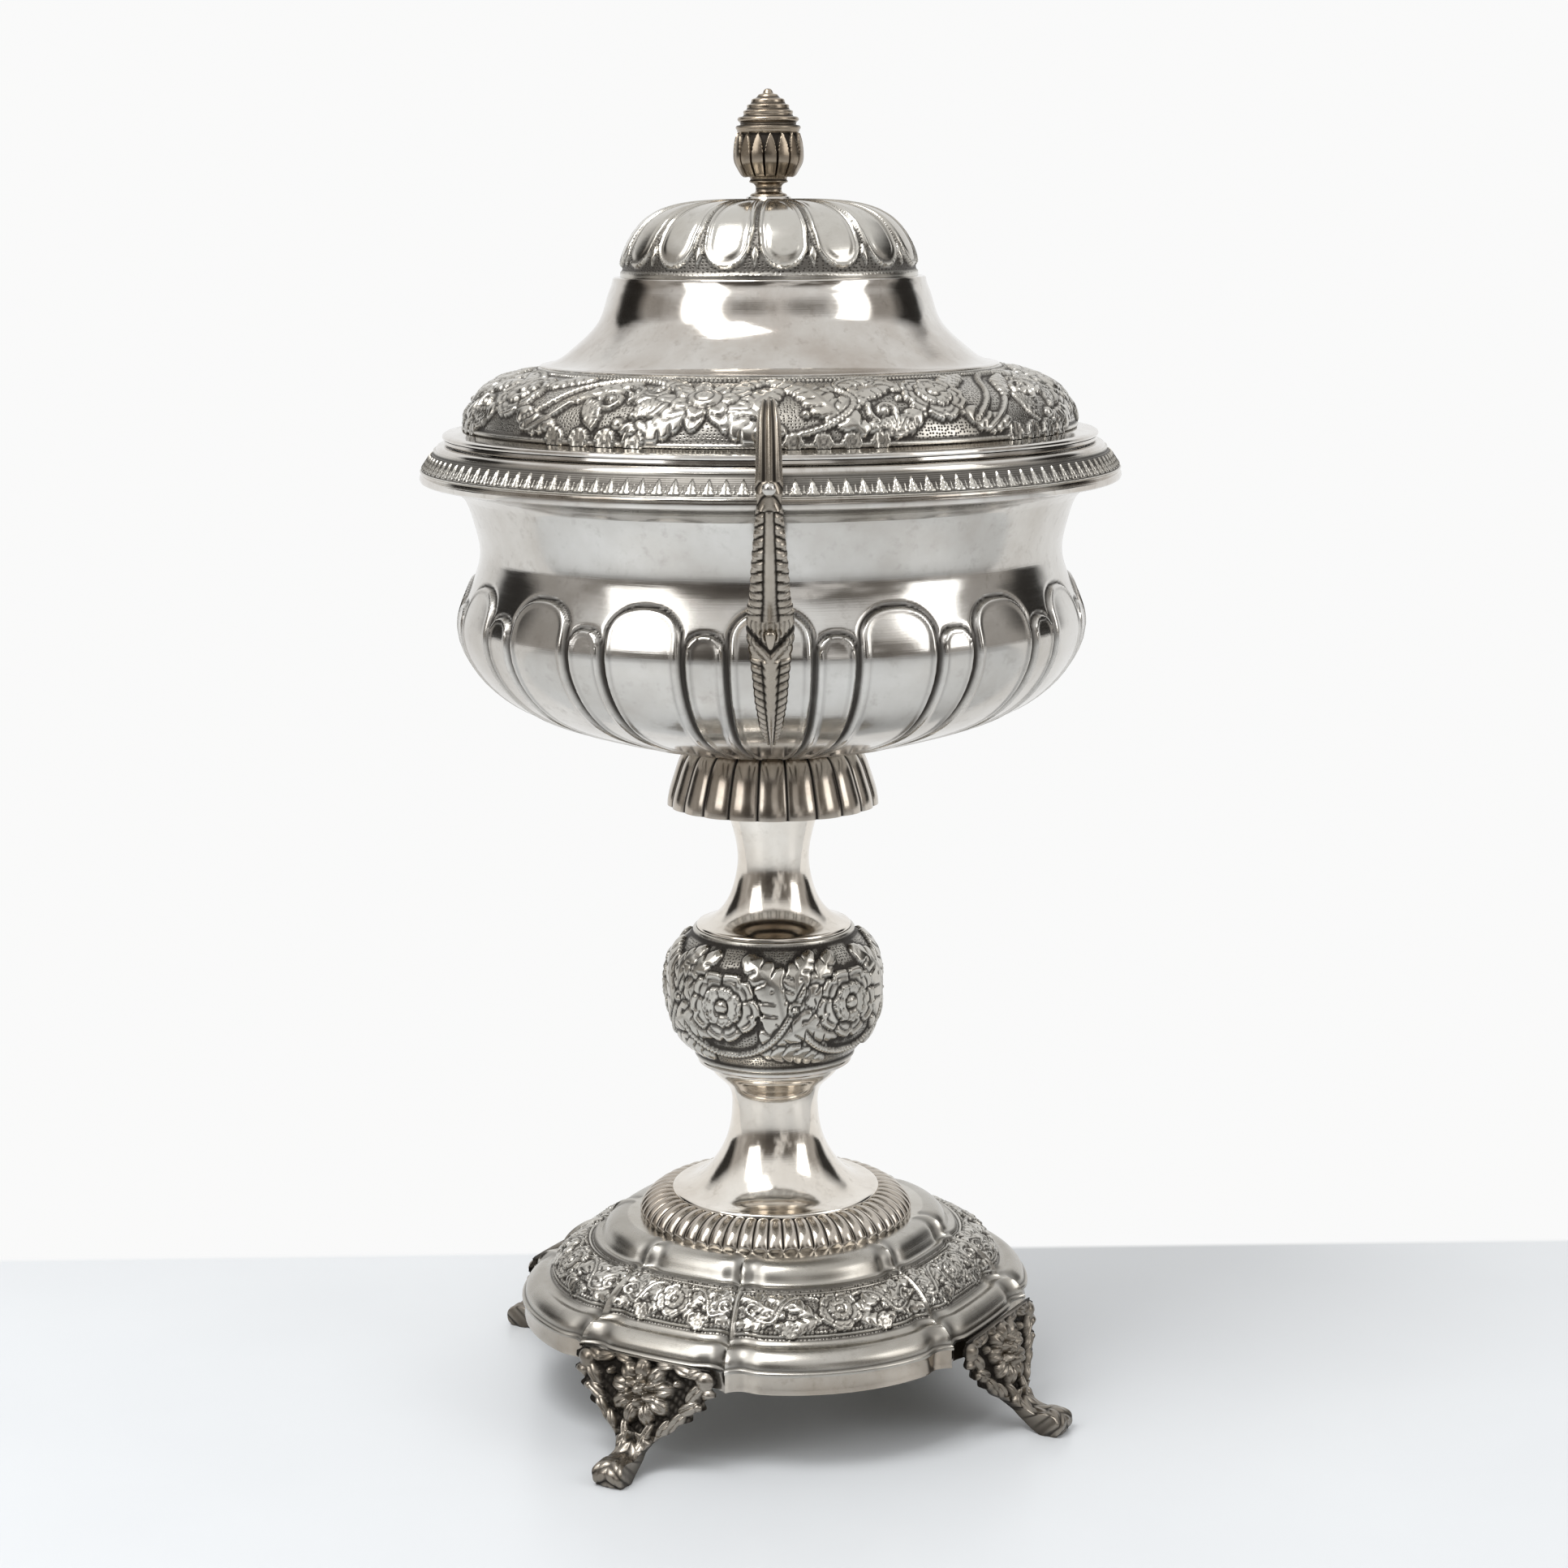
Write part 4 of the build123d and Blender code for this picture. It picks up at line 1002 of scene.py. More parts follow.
solid_ring("lid_bezel_ring", beside(BEZEL_R, bezel_low, (-1, 0), (-0.3, 0), (0, 0.5))
           + beside(BEZEL_R, wire_top, (0, 0), (-1, 0))
           + [(BEZEL_R - 1, 0.5 * (bezel_low + wire_top))],
           RING_AROUND, "lid", polished, ("lid_bezel",))
band_h = band_top - brim_top
lid_band_line = smooth([(BAND_FOOT_R, brim_top), (BAND_FOOT_R - 3.9, brim_top + 0.56 * band_h),
                        (BAND_TOP_R + 10.6, band_top - 0.19 * band_h), (BAND_TOP_R, band_top)],
                       400, (0, 1), (-0.94, 0.33))
lid_rows = walk(lid_band_line, np.linspace(0, run_length(lid_band_line)[-1], 62))


def lid_flowers(tile, p, h):
    """A quarter of the lid: a peony and a rose among acanthus, scrolls, fans and half daisies."""
    m = p / 2
    tile.line_round(0.7, 0.7, 0.4)
    tile.line_round(h - 0.8, 0.8, 0.45)
    tile.pearls(h - 2.0, 0.55, 1.35, 0.4)
    for side in (1, -1):
        for points, width, high, lobes in (
                ([(6, 9), (12, 12), (18, 19)], 8.5, 0.8, 6),
                ([(5, 17), (9, 23), (15, 26)], 6.0, 0.7, 5),
                ([(4, 8), (11, 4), (18, 4.5)], 6.5, 0.75, 5)):
            tile.leaf([(side * x, y) for x, y in points], width, high, lobes)
        for points in ([(6, 18), (12, 23), (18, 25)], [(6, 9), (12, 5), (19, 5)]):
            tile.leaf([(m + side * x, y) for x, y in points], 6.5, 0.75, lobes=5)
    # right of the peony: a long leaf on an S stem that sweeps up to the rose
    tile.leaf([(36, 5), (29, 12), (25, 19), (17, 25)], 9.5, 0.85, lobes=9)
    tile.leaf([(33, 11), (39, 17), (46, 19)], 7.5, 0.8, lobes=6)
    tile.leaf([(30, 19), (37, 24), (46, 26)], 6.0, 0.7, lobes=5)
    tile.stem(smooth([(20, 3), (31, 7), (36, 14), (33, 21), (38, 26), (50, 25)], 60),
              1.5, 0.95, bead=1.2)
    tile.volute(43, 9.5, 4.2, 2.6, 1.4, 1.3, 0.85)
    tile.fan(45, 3.4, 4.6, 0.1, 2.7, 0.75)
    # right of the rose: C scrolls with ribbed fans, curling down to the next peony
    tile.stem(smooth(beside(m, 0, (9, 6), (16, 12), (22, 20), (32, 26), (44, 24)), 60),
              1.5, 0.95, bead=1.2)
    tile.stem(smooth(beside(m, 0, (12, 3.5), (20, 9), (27, 17), (35, 21), (41, 18), (39, 13)), 60),
              1.3, 0.9)
    tile.volute(m + 34, 13.5, 4.8, 0.6, 1.6, 1.4, 0.9)
    tile.fan(m + 27, 7.5, 6.0, 5.6, 2.3, 0.8, ribs=11)
    tile.fan(m + 46, 9.0, 4.8, 1.0, 2.6, 0.75)
    tile.leaf([(m + 24, 13), (m + 29, 19), (m + 37, 23)], 5.0, 0.7, lobes=6)
    tile.volute(m + 45, 18.5, 3.4, 3.6, 1.3, 1.1, 0.8)
    for k in range(4):
        tile.bowl_of_petals(m + 21 + 7.2 * k, 1.8, 3.0, 8, 0.75)
        tile.bowl_of_petals(21 + 6.6 * k, 1.6, 2.4, 8, 0.6)
    for cx, cy, size in ((m + 38, 6.0, 1.5), (m + 42, 4.0, 1.0), (m + 41.5, 8.3, 1.0),
                         (24, 9, 1.1), (48, 14, 1.0)):
        rho = np.hypot(tile.near(cx), tile.y - cy) / size
        tile.raise_to(0.9 * domed(rho), rho < 1)
    tile.peony(0, 14.5, 10.4, 1.5)
    tile.rose(m, 15, 9.0, 1.4)


piece = crisp(turned_piece("lid_band_chased", lid_rows, lining(lid_rows, SHEET, 6), 1400,
                           relief=tiled(lid_flowers, 4, -12)), 70)
placed(piece, "lid", chased, ("lid_band",))
neck_h = dome_low - band_top
plain("lid_neck_spun",
      beside(BAND_TOP_R, band_top, (0.35, -0.25), (0.5, 0.35), (-0.6, 0.75))
      + beside(LID_NECK_R, band_top, (11.0, 4.7), (3.4, 0.54 * neck_h), (1.0, 0.84 * neck_h))
      + [(LID_NECK_R, dome_low - 0.4)], 90, "lid", (), polished, RING_AROUND)
solid_ring("lid_neck_edge", [(DOME_R - 1.2, dome_low - SHEET)]
           + beside(LID_NECK_R, dome_low, (-0.4, -SHEET), (-0.05, -0.6), (-0.3, -0.15), (-0.8, 0))
           + beside(DOME_R, dome_low, (-1.2, 0), (-1.2, -0.5)),
           RING_AROUND, "lid", polished, ("lid_neck",))
dome_h = dome_top - dome_low
dome_curve = smooth([(DOME_R, dome_low + 0.8), (DOME_R - 1.6, dome_low + 0.38 * dome_h),
                     (DOME_R - 7.2, dome_low + 0.76 * dome_h), (0.44 * DOME_R, dome_top - 0.3),
                     (COLLAR_R + 1, dome_top)], 400, (0, 1), (-1, 0))
dome_run = run_length(dome_curve)[-1]
dome_rows = np.concatenate([[[DOME_R, dome_low], [DOME_R, dome_low + 0.4]],
                            walk(dome_curve, np.linspace(0, dome_run, 80)), [[STUD_R, dome_top]]])


def dome_lobes(angles, length, line):
    """Sixteen drop-shaped lobes with a double raised outline and lozenges between their feet.

    A drop is round below, its half width above is half the local pitch less a groove, and
    the ground outside it is sunk and punched.
    """
    radius = np.maximum(line[:, :1], 4.0)
    y = length[:, None] - 0.8
    pitch = radius * TAU / 16
    x = radius * from_middle(angles, 6.0, LOBE_PITCH)[None, :]
    widest = 6.25
    cap = 2.3 + widest
    w = np.minimum(0.5 * pitch - 0.55, widest)
    below = widest - np.hypot(x, (y - cap) * 0.95)
    above = w - np.abs(x)
    depth = np.where(y < cap, np.minimum(below, widest), above)
    depth = np.minimum(depth, 0.9 * (dome_run - 2.0 - y))
    wire = 0.55 * bell(depth - 0.55, 0.42)
    inner = 0.16 * bell(depth - 1.55, 0.3)
    pad = 0.35 * step(1.1, 3.2, depth)
    far = radius * from_middle(angles, 6.0 + LOBE_PITCH / 2, LOBE_PITCH)[None, :]
    gem = np.abs(far) / 1.35 + np.abs(y - 5.6) / 3.1
    lozenge = 0.7 * np.clip(1 - gem, 0, 0.6)
    outside = 1 - step(-0.35, 0.25, depth)
    ground = outside * (gem > 0.95) * step(0.3, 0.9, y) * (1 - step(-2.6, -1.0, y - dome_run))
    height = wire + inner + pad + lozenge - 0.55 * ground * step(0.3, 1.2, y)
    oxide = np.clip(0.85 * ground + 0.55 * bell(depth - 1.15, 0.26), 0, 1)
    return height, oxide, ground


piece = crisp(turned_piece("lid_dome_lobed", dome_rows, lining(dome_rows, SHEET, 16), 960,
                           relief=dome_lobes), 60)
placed(piece, "lid", (chased[0], "silver_raised"), ("lid_dome",))

# finial: collar, spool, bud and stepped cap
collar_low, collar_top = foot_of("finial_collar"), top_of("finial_collar")
tip_z = top_of("finial")
solid_ring("finial_seat",
           [(STUD_R, collar_low)] + beside(COLLAR_R, collar_low, (-0.2, 0), (0, 0.4))
           + beside(COLLAR_R, collar_top, (-0.3, -0.2), (-0.9, 0))
           + [(STUD_R, collar_top), (STUD_R, 0.5 * (collar_low + collar_top))],
           192, "lid", polished, ("finial_collar",))
finial_h = tip_z - collar_top
# radius as a share of the bud's widest, and height as a share of the finial's
CAP_LINE = [
    (0.54, 0.0), (0.50, 0.022), (0.40, 0.035), (0.37, 0.07), (0.40, 0.105), (0.50, 0.125),
    (0.56, 0.135), (0.52, 0.155), (0.66, 0.175), (0.86, 0.24), (0.97, 0.31), (1.0, 0.38),
    (0.985, 0.46), (0.94, 0.54), (0.895, 0.60), (0.90, 0.618), (0.93, 0.635), (0.90, 0.655),
    (0.80, 0.665), (0.80, 0.68), (0.86, 0.70), (0.88, 0.715), (0.84, 0.735), (0.72, 0.745),
    (0.70, 0.76), (0.71, 0.79), (0.62, 0.805), (0.60, 0.825), (0.60, 0.845), (0.50, 0.86),
    (0.48, 0.88), (0.46, 0.90), (0.34, 0.915), (0.30, 0.93), (0.27, 0.945), (0.16, 0.955),
    (0.13, 0.975), (0.09, 0.993), (0.02, 1.0)]
cap_line = np.array([(a * FINIAL_R, collar_top + b * finial_h) for a, b in CAP_LINE])
bud_line = smooth(cap_line, 150)
bud_line[:, 0] = np.clip(bud_line[:, 0], 0.05, FINIAL_R)
bud_line[:, 1] = np.minimum(bud_line[:, 1], tip_z)


BUD_LOW, BUD_HIGH = 0.165, 0.60     # shares of the finial's height


def bud_petals(angles, length, line):
    """Sixteen lancet petals on the bud: a petal's half width is the sine of its share of height."""
    share = ((line[:, 1] - collar_top) / finial_h)[:, None]
    t = np.clip((share - BUD_LOW) / (BUD_HIGH - BUD_LOW), 0, 1)
    x = np.abs(from_middle(angles, 4.0, LOBE_PITCH))[None, :] / (TAU / 32)
    half = np.where(t < 0.45, 0.93, 0.93 * np.clip(1 - ((t - 0.45) / 0.53) ** 2, 0, 1) ** 0.75)
    inside = step(-0.04, 0.10, half - x) * (t > 0) * (t < 1)
    crown = 1 - 0.55 * x ** 2
    rib = 0.14 * bell(x, 0.12)
    height = (0.30 + 0.35 * crown + rib) * inside - 0.45 * (1 - inside) * (t > 0.02) * (t < 0.98)
    height = height * step(0, 0.06, t) * step(0, 0.06, 1 - t)
    oxide = ((1 - inside) * (t > 0.02) * (t < 0.98)) * 0.95
    grooves = np.zeros_like(share)
    for place in (0.07, 0.15, 0.655, 0.675, 0.745, 0.81, 0.865, 0.92):
        grooves = np.maximum(grooves, bell(share - place, 0.009))
    height = np.minimum(height, 0.45) - 0.35 * (t > 0) * (t < 1)
    return height, np.clip(oxide + 0.9 * grooves, 0, 1), 0 * height


piece = crisp(turned_piece("finial_bud", bud_line, None, 352, relief=bud_petals,
                           caps=(True, True)), 60)
placed(piece, "lid", finial_silver, ("finial",))

# ======================= handles =======================

loop_top = top_of("handle_front")
bead_z = leaf_top - 2.0
handle_points = [
    (0.68 * BELLY_R, floor_z + 0.18 * BELLY_RISE),
    (0.83 * BELLY_R + 1.1, floor_z + 0.33 * BELLY_RISE),
    (0.955 * BELLY_R + 3.0, floor_z + 0.62 * BELLY_RISE), (BELLY_R + 4.8, belly_z - 1),
    (BELLY_R + 7.8, belly_z + 8), (HANDLE_REACH - 8.5, root_z - 18),
    (HANDLE_REACH - 1.8, root_z - 3), (HANDLE_REACH, bead_z), (HANDLE_REACH - 3.2, loop_top - 6.5),
    (HANDLE_REACH - 10.5, loop_top), (LEAF_TOP_R + 2.4, loop_top - 4.2),
    (LEAF_TOP_R - 0.2, leaf_top + 5), (LEAF_TOP_R - 0.4, lip_top + 0.5)]
handle_line = smooth(handle_points, 1400)
handle_run = run_length(handle_line)
peak = int(np.argmax(handle_line[:, 1]))


def handle_at(height):
    """Length along the handle where its outside first reaches a height."""
    return float(np.interp(height, handle_line[:peak, 1], handle_run[:peak]))


WIDTH_BY_HEIGHT = [
    (190.8, 0.8), (194, 1.9), (200, 2.9), (208, 3.9), (214, 4.3), (221, 5.0), (225, 5.6),
    (231, 5.5), (235, 4.7), (242, 4.4), (250, 3.8), (257, 3.2), (260.5, 2.9), (264, 3.4),
    (268, 3.2),
    (274, 3.1), (280, 2.9), (284, 2.2), (286.0, 1.3)]
LEAF_ENDS, CURL_ENDS, CHEVRON_ENDS = 219.5, 230.0, 258.5      # heights where its runs change
DROP_Z = 226.5
LATITUDES = np.linspace(-math.pi / 2, math.pi / 2, 21)[1:-1]


def handle_relief(x, at, half):
    """Height of the handle's outer face over its swept middle, in five runs along it.

    From the foot: a crescent-lobed leaf with a tapering rib, a V-shaped ribbed curl with a
    drop, a chevron leaf with a beaded rib, curls round the pearl, and two rails with a ridge.
    """
    u = np.clip(x / half, -1, 1)
    a = np.abs(u)
    belly_end, curl_end, leaf_end, pearl = (
        handle_at(z) for z in (LEAF_ENDS, CURL_ENDS, CHEVRON_ENDS, bead_z))
    out = 0.9 * domed(a)
    dark = np.zeros_like(out) + 0.16
    # leaf on the belly
    s = at
    here = s < belly_end
    slant = s / 2.55 - 0.55 * a
    lobe = np.abs(np.sin(math.pi * slant))
    leaf = (0.9 * lobe ** 0.6 - 0.5) * step(0.16, 0.42, a)
    rib_w = 0.10 + 0.30 * np.clip(s / belly_end, 0, 1)
    rib = 1.2 * domed(a / rib_w)
    out = out + here * (leaf + rib)
    dark = dark + here * (bell(lobe, 0.30) * step(0.2, 0.4, a)
                          + 0.8 * bell(a - rib_w - 0.05, 0.07))
    # V-shaped curled lip with radial ribs
    here = (s >= belly_end) & (s < curl_end)
    t = (s - belly_end) / (curl_end - belly_end)
    vee = t - 0.55 * a
    swell = 1.9 * bell(vee - 0.02, 0.16) + 1.2 * bell(vee - 0.36, 0.10)
    ribs = 0.45 * np.abs(np.sin(5 * math.pi * a)) * step(0.1, 0.5, t)
    out = out + here * (swell * 0.8 + ribs)
    dark = dark + here * (bell(vee - 0.20, 0.07)
                          + 0.7 * bell(np.sin(5 * math.pi * a), 0.3) * (t > 0.4))
    # chevron leaf
    here = (s >= curl_end) & (s < leaf_end)
    slant = (s - curl_end) / 3.1 + 0.75 * a
    lobe = np.abs(np.sin(math.pi * slant))
    out = out + here * ((1.15 * lobe ** 0.65 - 0.6) * step(0.22, 0.5, a)
                        + 0.85 * domed(a / 0.30) * (0.85 + 0.15 * np.cos(TAU * s / 1.5)))
    dark = dark + here * (bell(lobe, 0.32) * step(0.28, 0.45, a) + 0.9 * bell(a - 0.34, 0.07))
    # curls that close round the pearl
    here = (s >= leaf_end) & (s < pearl + 1.5)
    t = (s - leaf_end) / (pearl + 1.5 - leaf_end)
    arcs = np.abs(np.sin(math.pi * (1.7 * t + 0.8 * a ** 2)))
    out = out + here * (0.9 * arcs ** 0.6 - 0.3)
    dark = dark + here * bell(arcs, 0.33)
    # upper loop: two rails and a ridge between
    here = s >= pearl + 1.5
    rails = 0.9 * bell(a - 0.74, 0.20) + 0.75 * bell(a, 0.16)
    out = out + here * (rails - 0.35)
    dark = dark + here * bell(a - 0.38, 0.14)
    return out, np.clip(dark, 0, 1)


def handle(name, facing, node):
    """Scroll handle: a rounded section carried along the path, its outer face chased.

    At length s the section is the point at path(s) - n (T/2) + across x, with n the path's
    outward normal, T the thickness and w the half width. The outer half of the section is
    raised by the relief, and the inner half is a plain rounded back.
    """
    rows, across, back = 420, 60, 22
    at = np.linspace(0.2, handle_run[-1] - 0.1, rows)
    middle = walk(handle_line, at)
    normal = profile_normals(middle)
    rising = at <= handle_run[peak]
    falling = np.interp(middle[:, 1], [lip_top, leaf_top, loop_top - 9, loop_top],
                        [3.6, 3.2, 2.9, 1.3])
    half = np.where(rising, np.interp(middle[:, 1], *np.transpose(WIDTH_BY_HEIGHT)), falling)
    wave = 1 + 0.07 * np.abs(np.sin(math.pi * at / 2.6)) * (at < handle_at(258))
    half = half * wave
    thick = np.interp(at, [0, 4, handle_at(219), handle_at(258), handle_run[peak], handle_run[-1]],
                      [1.6, 3.0, 4.2, 4.3, 3.4, 3.2])
    to_bowl = np.sqrt(((middle[:, None, :] - bowl_line[None, ::3, :]) ** 2).sum(-1)).min(1)
    thick = np.where(middle[:, 1] < belly_z, np.minimum(thick, to_bowl + 0.5), thick)
    front_u = np.sin(np.linspace(-math.pi / 2, math.pi / 2, across))
    back_u = np.sin(np.linspace(math.pi / 2, -math.pi / 2, back + 2)[1:-1])
    fx = half[:, None] * front_u[None, :]
    relief, dark = handle_relief(fx, at[:, None], half[:, None])
    arch = domed(front_u)[None, :]
    fn = -thick[:, None] * 0.5 + (relief + thick[:, None] * 0.32) * arch ** 0.6
    peak_room = 0.10 - fn.max(axis=1, keepdims=True)
    fn = fn + np.minimum(peak_room, 0)
    bx = half[:, None] * back_u[None, :]
    bn = -thick[:, None] * (0.5 + 0.5 * domed(back_u)[None, :] ** 0.8)
    x = np.concatenate([fx, bx], 1)
    n = np.concatenate([fn, bn], 1)
    radius = middle[:, :1] + normal[:, :1] * n
    height = np.minimum(middle[:, 1:] + normal[:, 1:] * n, loop_top)
    points = np.stack([-facing * x, facing * radius, height], -1)
    oxide = np.concatenate([dark, np.full(bx.shape, 0.35)], 1)
    wide = x.shape[1]
    uv = np.stack(np.broadcast_arrays(np.linspace(0, 24, wide + 1)[None, :], at[:, None]), -1)
    piece = crisp(grid_piece(name, points, caps=(True, True), uv=uv,
                             fields={"oxide": oxide, "ground": 0 * oxide}), 75)
    return placed(piece, "bowl", handle_silver, (node,))


def ball(name, centre, rings, heights, around):
    """Ball or egg from the radius and height of each of its rings, closed at both poles."""
    a = np.arange(around) / around * TAU
    points = np.stack([rings[:, None] * np.cos(a), rings[:, None] * np.sin(a),
                       np.repeat(heights[:, None], around, 1)], -1) + np.asarray(centre)
    clean = np.zeros((len(rings), around))
    return crisp(grid_piece(name, points, caps=(True, True),
                            fields={"oxide": clean, "ground": clean}))


def pearl(name, centre, radius):
    """Round ball: a ring at latitude b has radius R cos(b) and height R sin(b)."""
    return ball(name, centre, np.cos(LATITUDES) * radius, np.sin(LATITUDES) * radius, 40)


def leaf_drop(name, facing):
    """Drop on the V-shaped curl: an egg 1.35 in radius, drawn out downwards."""
    y, z = walk(handle_line, handle_at(DROP_Z))
    rise = np.sin(LATITUDES)
    piece = ball(name, (0, facing * (y + 0.35), z), np.cos(LATITUDES) * (1.35 + 0.25 * rise),
                 np.where(LATITUDES < 0, 3.4, 1.6) * rise, 32)
    return placed(piece, "bowl", handle_silver, ())


for side, facing in (("front", -1), ("back", 1)):
    handle(f"handle_{side}_cast", facing, f"handle_{side}")
    bead = pearl(f"handle_pearl_{side}", (0, facing * (HANDLE_REACH + 0.25), bead_z), 1.75)
    placed(bead, "bowl", (raised[0], "silver_cast"), (f"handle_bead_{side}",))
    leaf_drop(f"handle_drop_{side}", facing)

# ======================= feet =======================

plate_face = STRAIGHT_SHARE * APRON_R + 4.0
foot_front = smooth(
    [(plate_face, apron_top + 1.6), (plate_face + 0.5, apron_top - 3),
     (plate_face + 2.6, 0.62 * apron_top)]
    + beside(TOE_REACH, 0, (-9.0, 9.2), (-4.0, 5.9), (0.5, 6.2), (3.3, 5.0), (4.2, 2.6),
             (3.2, 0.4)), 240)
foot_back = smooth(
    beside(plate_face, apron_top, (-2.0, 1.2), (-2.0, -3)) + [(plate_face - 0.6, 0.62 * apron_top)]
    + beside(TOE_REACH, 0, (-12.0, 7.4), (-7.0, 3.0), (-3.6, 0.6), (-1.0, 0.0), (1.5, 0.0),
             (3.0, 0.1)), 240)
FOOT_HALF = [
    (0, 3.9), (3.2, 4.7), (6.5, 4.0), (8.2, 4.6), (10.0, 6.6), (12.5, 10.4), (15.5, 14.6),
    (18.5, 17.6), (21.0, 19.6), (23.5, 21.2), (26.5, 21.6), (29.2, 20.4)]   # by height


# each petal beside the flower: middle, half length, half width, turn, rise, depth of its vein
SIDE_PETALS = [
    (18.4, 26.0, 2.7, 2.6, 0, 3.1, 0), (15.2, 27.6, 2.6, 1.7, 0.5, 2.3, 0.3),
    (19.8, 22.6, 2.0, 1.8, 0, 2.4, 0), (12.0, 27.8, 3.2, 1.7, -0.3, 2.4, 0.35),
    (15.8, 22.6, 3.8, 1.9, 0.9, 2.6, 0.4), (14.4, 18.6, 3.4, 1.8, 0.5, 2.6, 0.4),
    (11.6, 14.8, 3.6, 1.8, 0.9, 2.5, 0.4), (8.0, 12.2, 3.0, 1.7, 1.1, 2.3, 0.4),
    (6.4, 28.2, 2.8, 1.5, 0.2, 2.2, 0.3), (17.2, 19.2, 1.2, 1.2, 0, 2.3, 0),
    (10.4, 24.2, 1.3, 1.3, 0, 2.4, 0), (3.2, 10.4, 3.4, 1.5, 1.2, 2.0, 0.4),
    (2.6, 7.2, 2.4, 1.3, 1.3, 1.6, 0.3)]


def foot_relief(x, s, z):
    """Cast flowers on a foot: petals as cups round a centre, leaves as slanted ribs.

    Each petal is a dome on an ellipse turned to point away from the flower's middle, and the
    highest of all of them is kept at each place.
    """
    out = 0.35 * np.abs(np.sin(1.9 * x + 0.8 * s)) * np.abs(np.sin(1.3 * s - 0.7 * x))

    def dome(cx, cz, long_, wide, turn, rise, vein):
        nonlocal out
        dx, dz = x - cx, z - cz
        p = dx * math.cos(turn) + dz * math.sin(turn)
        q = -dx * math.sin(turn) + dz * math.cos(turn)
        rho = (p / long_) ** 2 + (q / wide) ** 2
        cup = np.sqrt(np.clip(1 - rho, 0, 1))
        out = np.maximum(out, rise * cup * (1 - vein * bell(q, 0.22 * wide)))

    for side in (-1, 1):
        for cx, cz, long_, wide, turn, rise, vein in SIDE_PETALS:
            dome(side * cx, cz, long_, wide, side * turn, rise, vein)
    for k in range(9):
        turn = k * TAU / 9 + 0.2
        dome(6.4 * math.cos(turn), 20.6 + 5.7 * math.sin(turn), 3.2, 2.45, turn, 3.3, 0.25)
    for k in range(6):
        turn = k * TAU / 6 + 0.5
        dome(3.3 * math.cos(turn), 20.9 + 3.0 * math.sin(turn), 2.0, 1.7, turn, 4.1, -0.2)
    rho = np.hypot(x / 2.3, (z - 21.2) / 2.1)
    heart = domed(rho) * (4.9 + 0.25 * np.cos(x * 6.5))
    out = np.maximum(out, heart)
    curls = np.abs(np.sin(0.75 * s - 0.55 * np.abs(x))) * (0.5 + 0.5 * np.abs(np.sin(1.15 * x)))
    out = np.where(z < 10.5, np.maximum(out, 2.6 * curls), out)
    toe = bell(s - s.max() + 6.5, 3.0)
    return out, np.clip(1.0 - out / 1.5, 0, 1) * (1 - 0.3 * toe)


def cast_foot(name, node, turn):
    """One foot: a front face with flowers and a plain back, joined at a scalloped edge.

    Row s runs down the front path and column t across it, at x = w(z) sin(t pi / 2) with w the
    outline's half width. The front stands out from its path by the relief along its normal.
    """
    front_n, back_n = 110, 26
    run_ = run_length(foot_front)
    normal = -profile_normals(foot_front)
    z = foot_front[:, 1]
    half = np.interp(z, *np.transpose(FOOT_HALF))
    half = (half * (1 + 0.05 * np.sin(z * 1.7))
            + 0.35 * np.abs(np.sin(z * 1.05)) * (z > 9))
    half = np.minimum(half, 0.5 * FOOT_WIDTH)
    t = np.sin(np.linspace(-math.pi / 2, math.pi / 2, front_n))
    x = half[:, None] * t[None, :]
    relief, oxide = foot_relief(x, *(np.repeat(v[:, None], front_n, 1) for v in (run_, z)))
    edge = np.clip(1 - t ** 2, 0, 1)[None, :] ** 0.35
    n = (relief - 1.1) * edge * step(0, 1.2, run_)[:, None] - 1.3 * (1 - edge)
    narrow = (1 - step(6.5, 10.5, z))[:, None]
    n = n * (1 - narrow) + narrow * (edge * (0.35 + 0.5 * relief * 0.4) - 0.4)
    rho = foot_front[:, :1] + normal[:, :1] * n
    high = np.maximum(foot_front[:, 1:] + normal[:, 1:] * n, 0.0)
    bt = np.sin(np.linspace(math.pi / 2, -math.pi / 2, back_n + 2)[1:-1])
    bx = 0.94 * half[:, None] * bt[None, :]
    b_rho = np.repeat(foot_back[:, :1], back_n, 1)
    b_high = np.repeat(foot_back[:, 1:], back_n, 1)
    rho = np.minimum(np.concatenate([rho, b_rho], 1), TOE_REACH + 4.4)
    high = np.maximum(np.concatenate([high, b_high], 1), 0.0)
    side = np.concatenate([x, bx], 1)
    c, s_ = math.cos(turn), math.sin(turn)
    points = np.stack([rho * c - side * s_, rho * s_ + side * c, high], -1)[::-1]
    dark = np.concatenate([oxide, np.full(bx.shape, 0.6)], 1)[::-1]
    piece = crisp(grid_piece(name, points, caps=(True, True),
                             fields={"oxide": dark, "ground": 0 * dark}), 80)
    return placed(piece, "base", cast, (node,))


for index, name in enumerate(("front_left", "front_right", "back_right", "back_left")):
    cast_foot(f"foot_{name}_cast", f"foot_{name}",
              BASE_TURN - math.pi / 2 - math.pi / 4 + index * math.pi / 2)

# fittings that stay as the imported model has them
for node in ("tie_rod", "tie_nut", "tie_washer", "bowl_boss", "finial_nut", "rim_seat"):
    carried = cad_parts[node]
    finish = polished[0] if node == "rim_seat" else steel
    if carried.material_slots:
        for one in carried.material_slots:
            one.material = finish
    else:
        carried.data.materials.append(finish)

# ======================= floor, light and camera =======================

TABLE_EDGE = 0.105


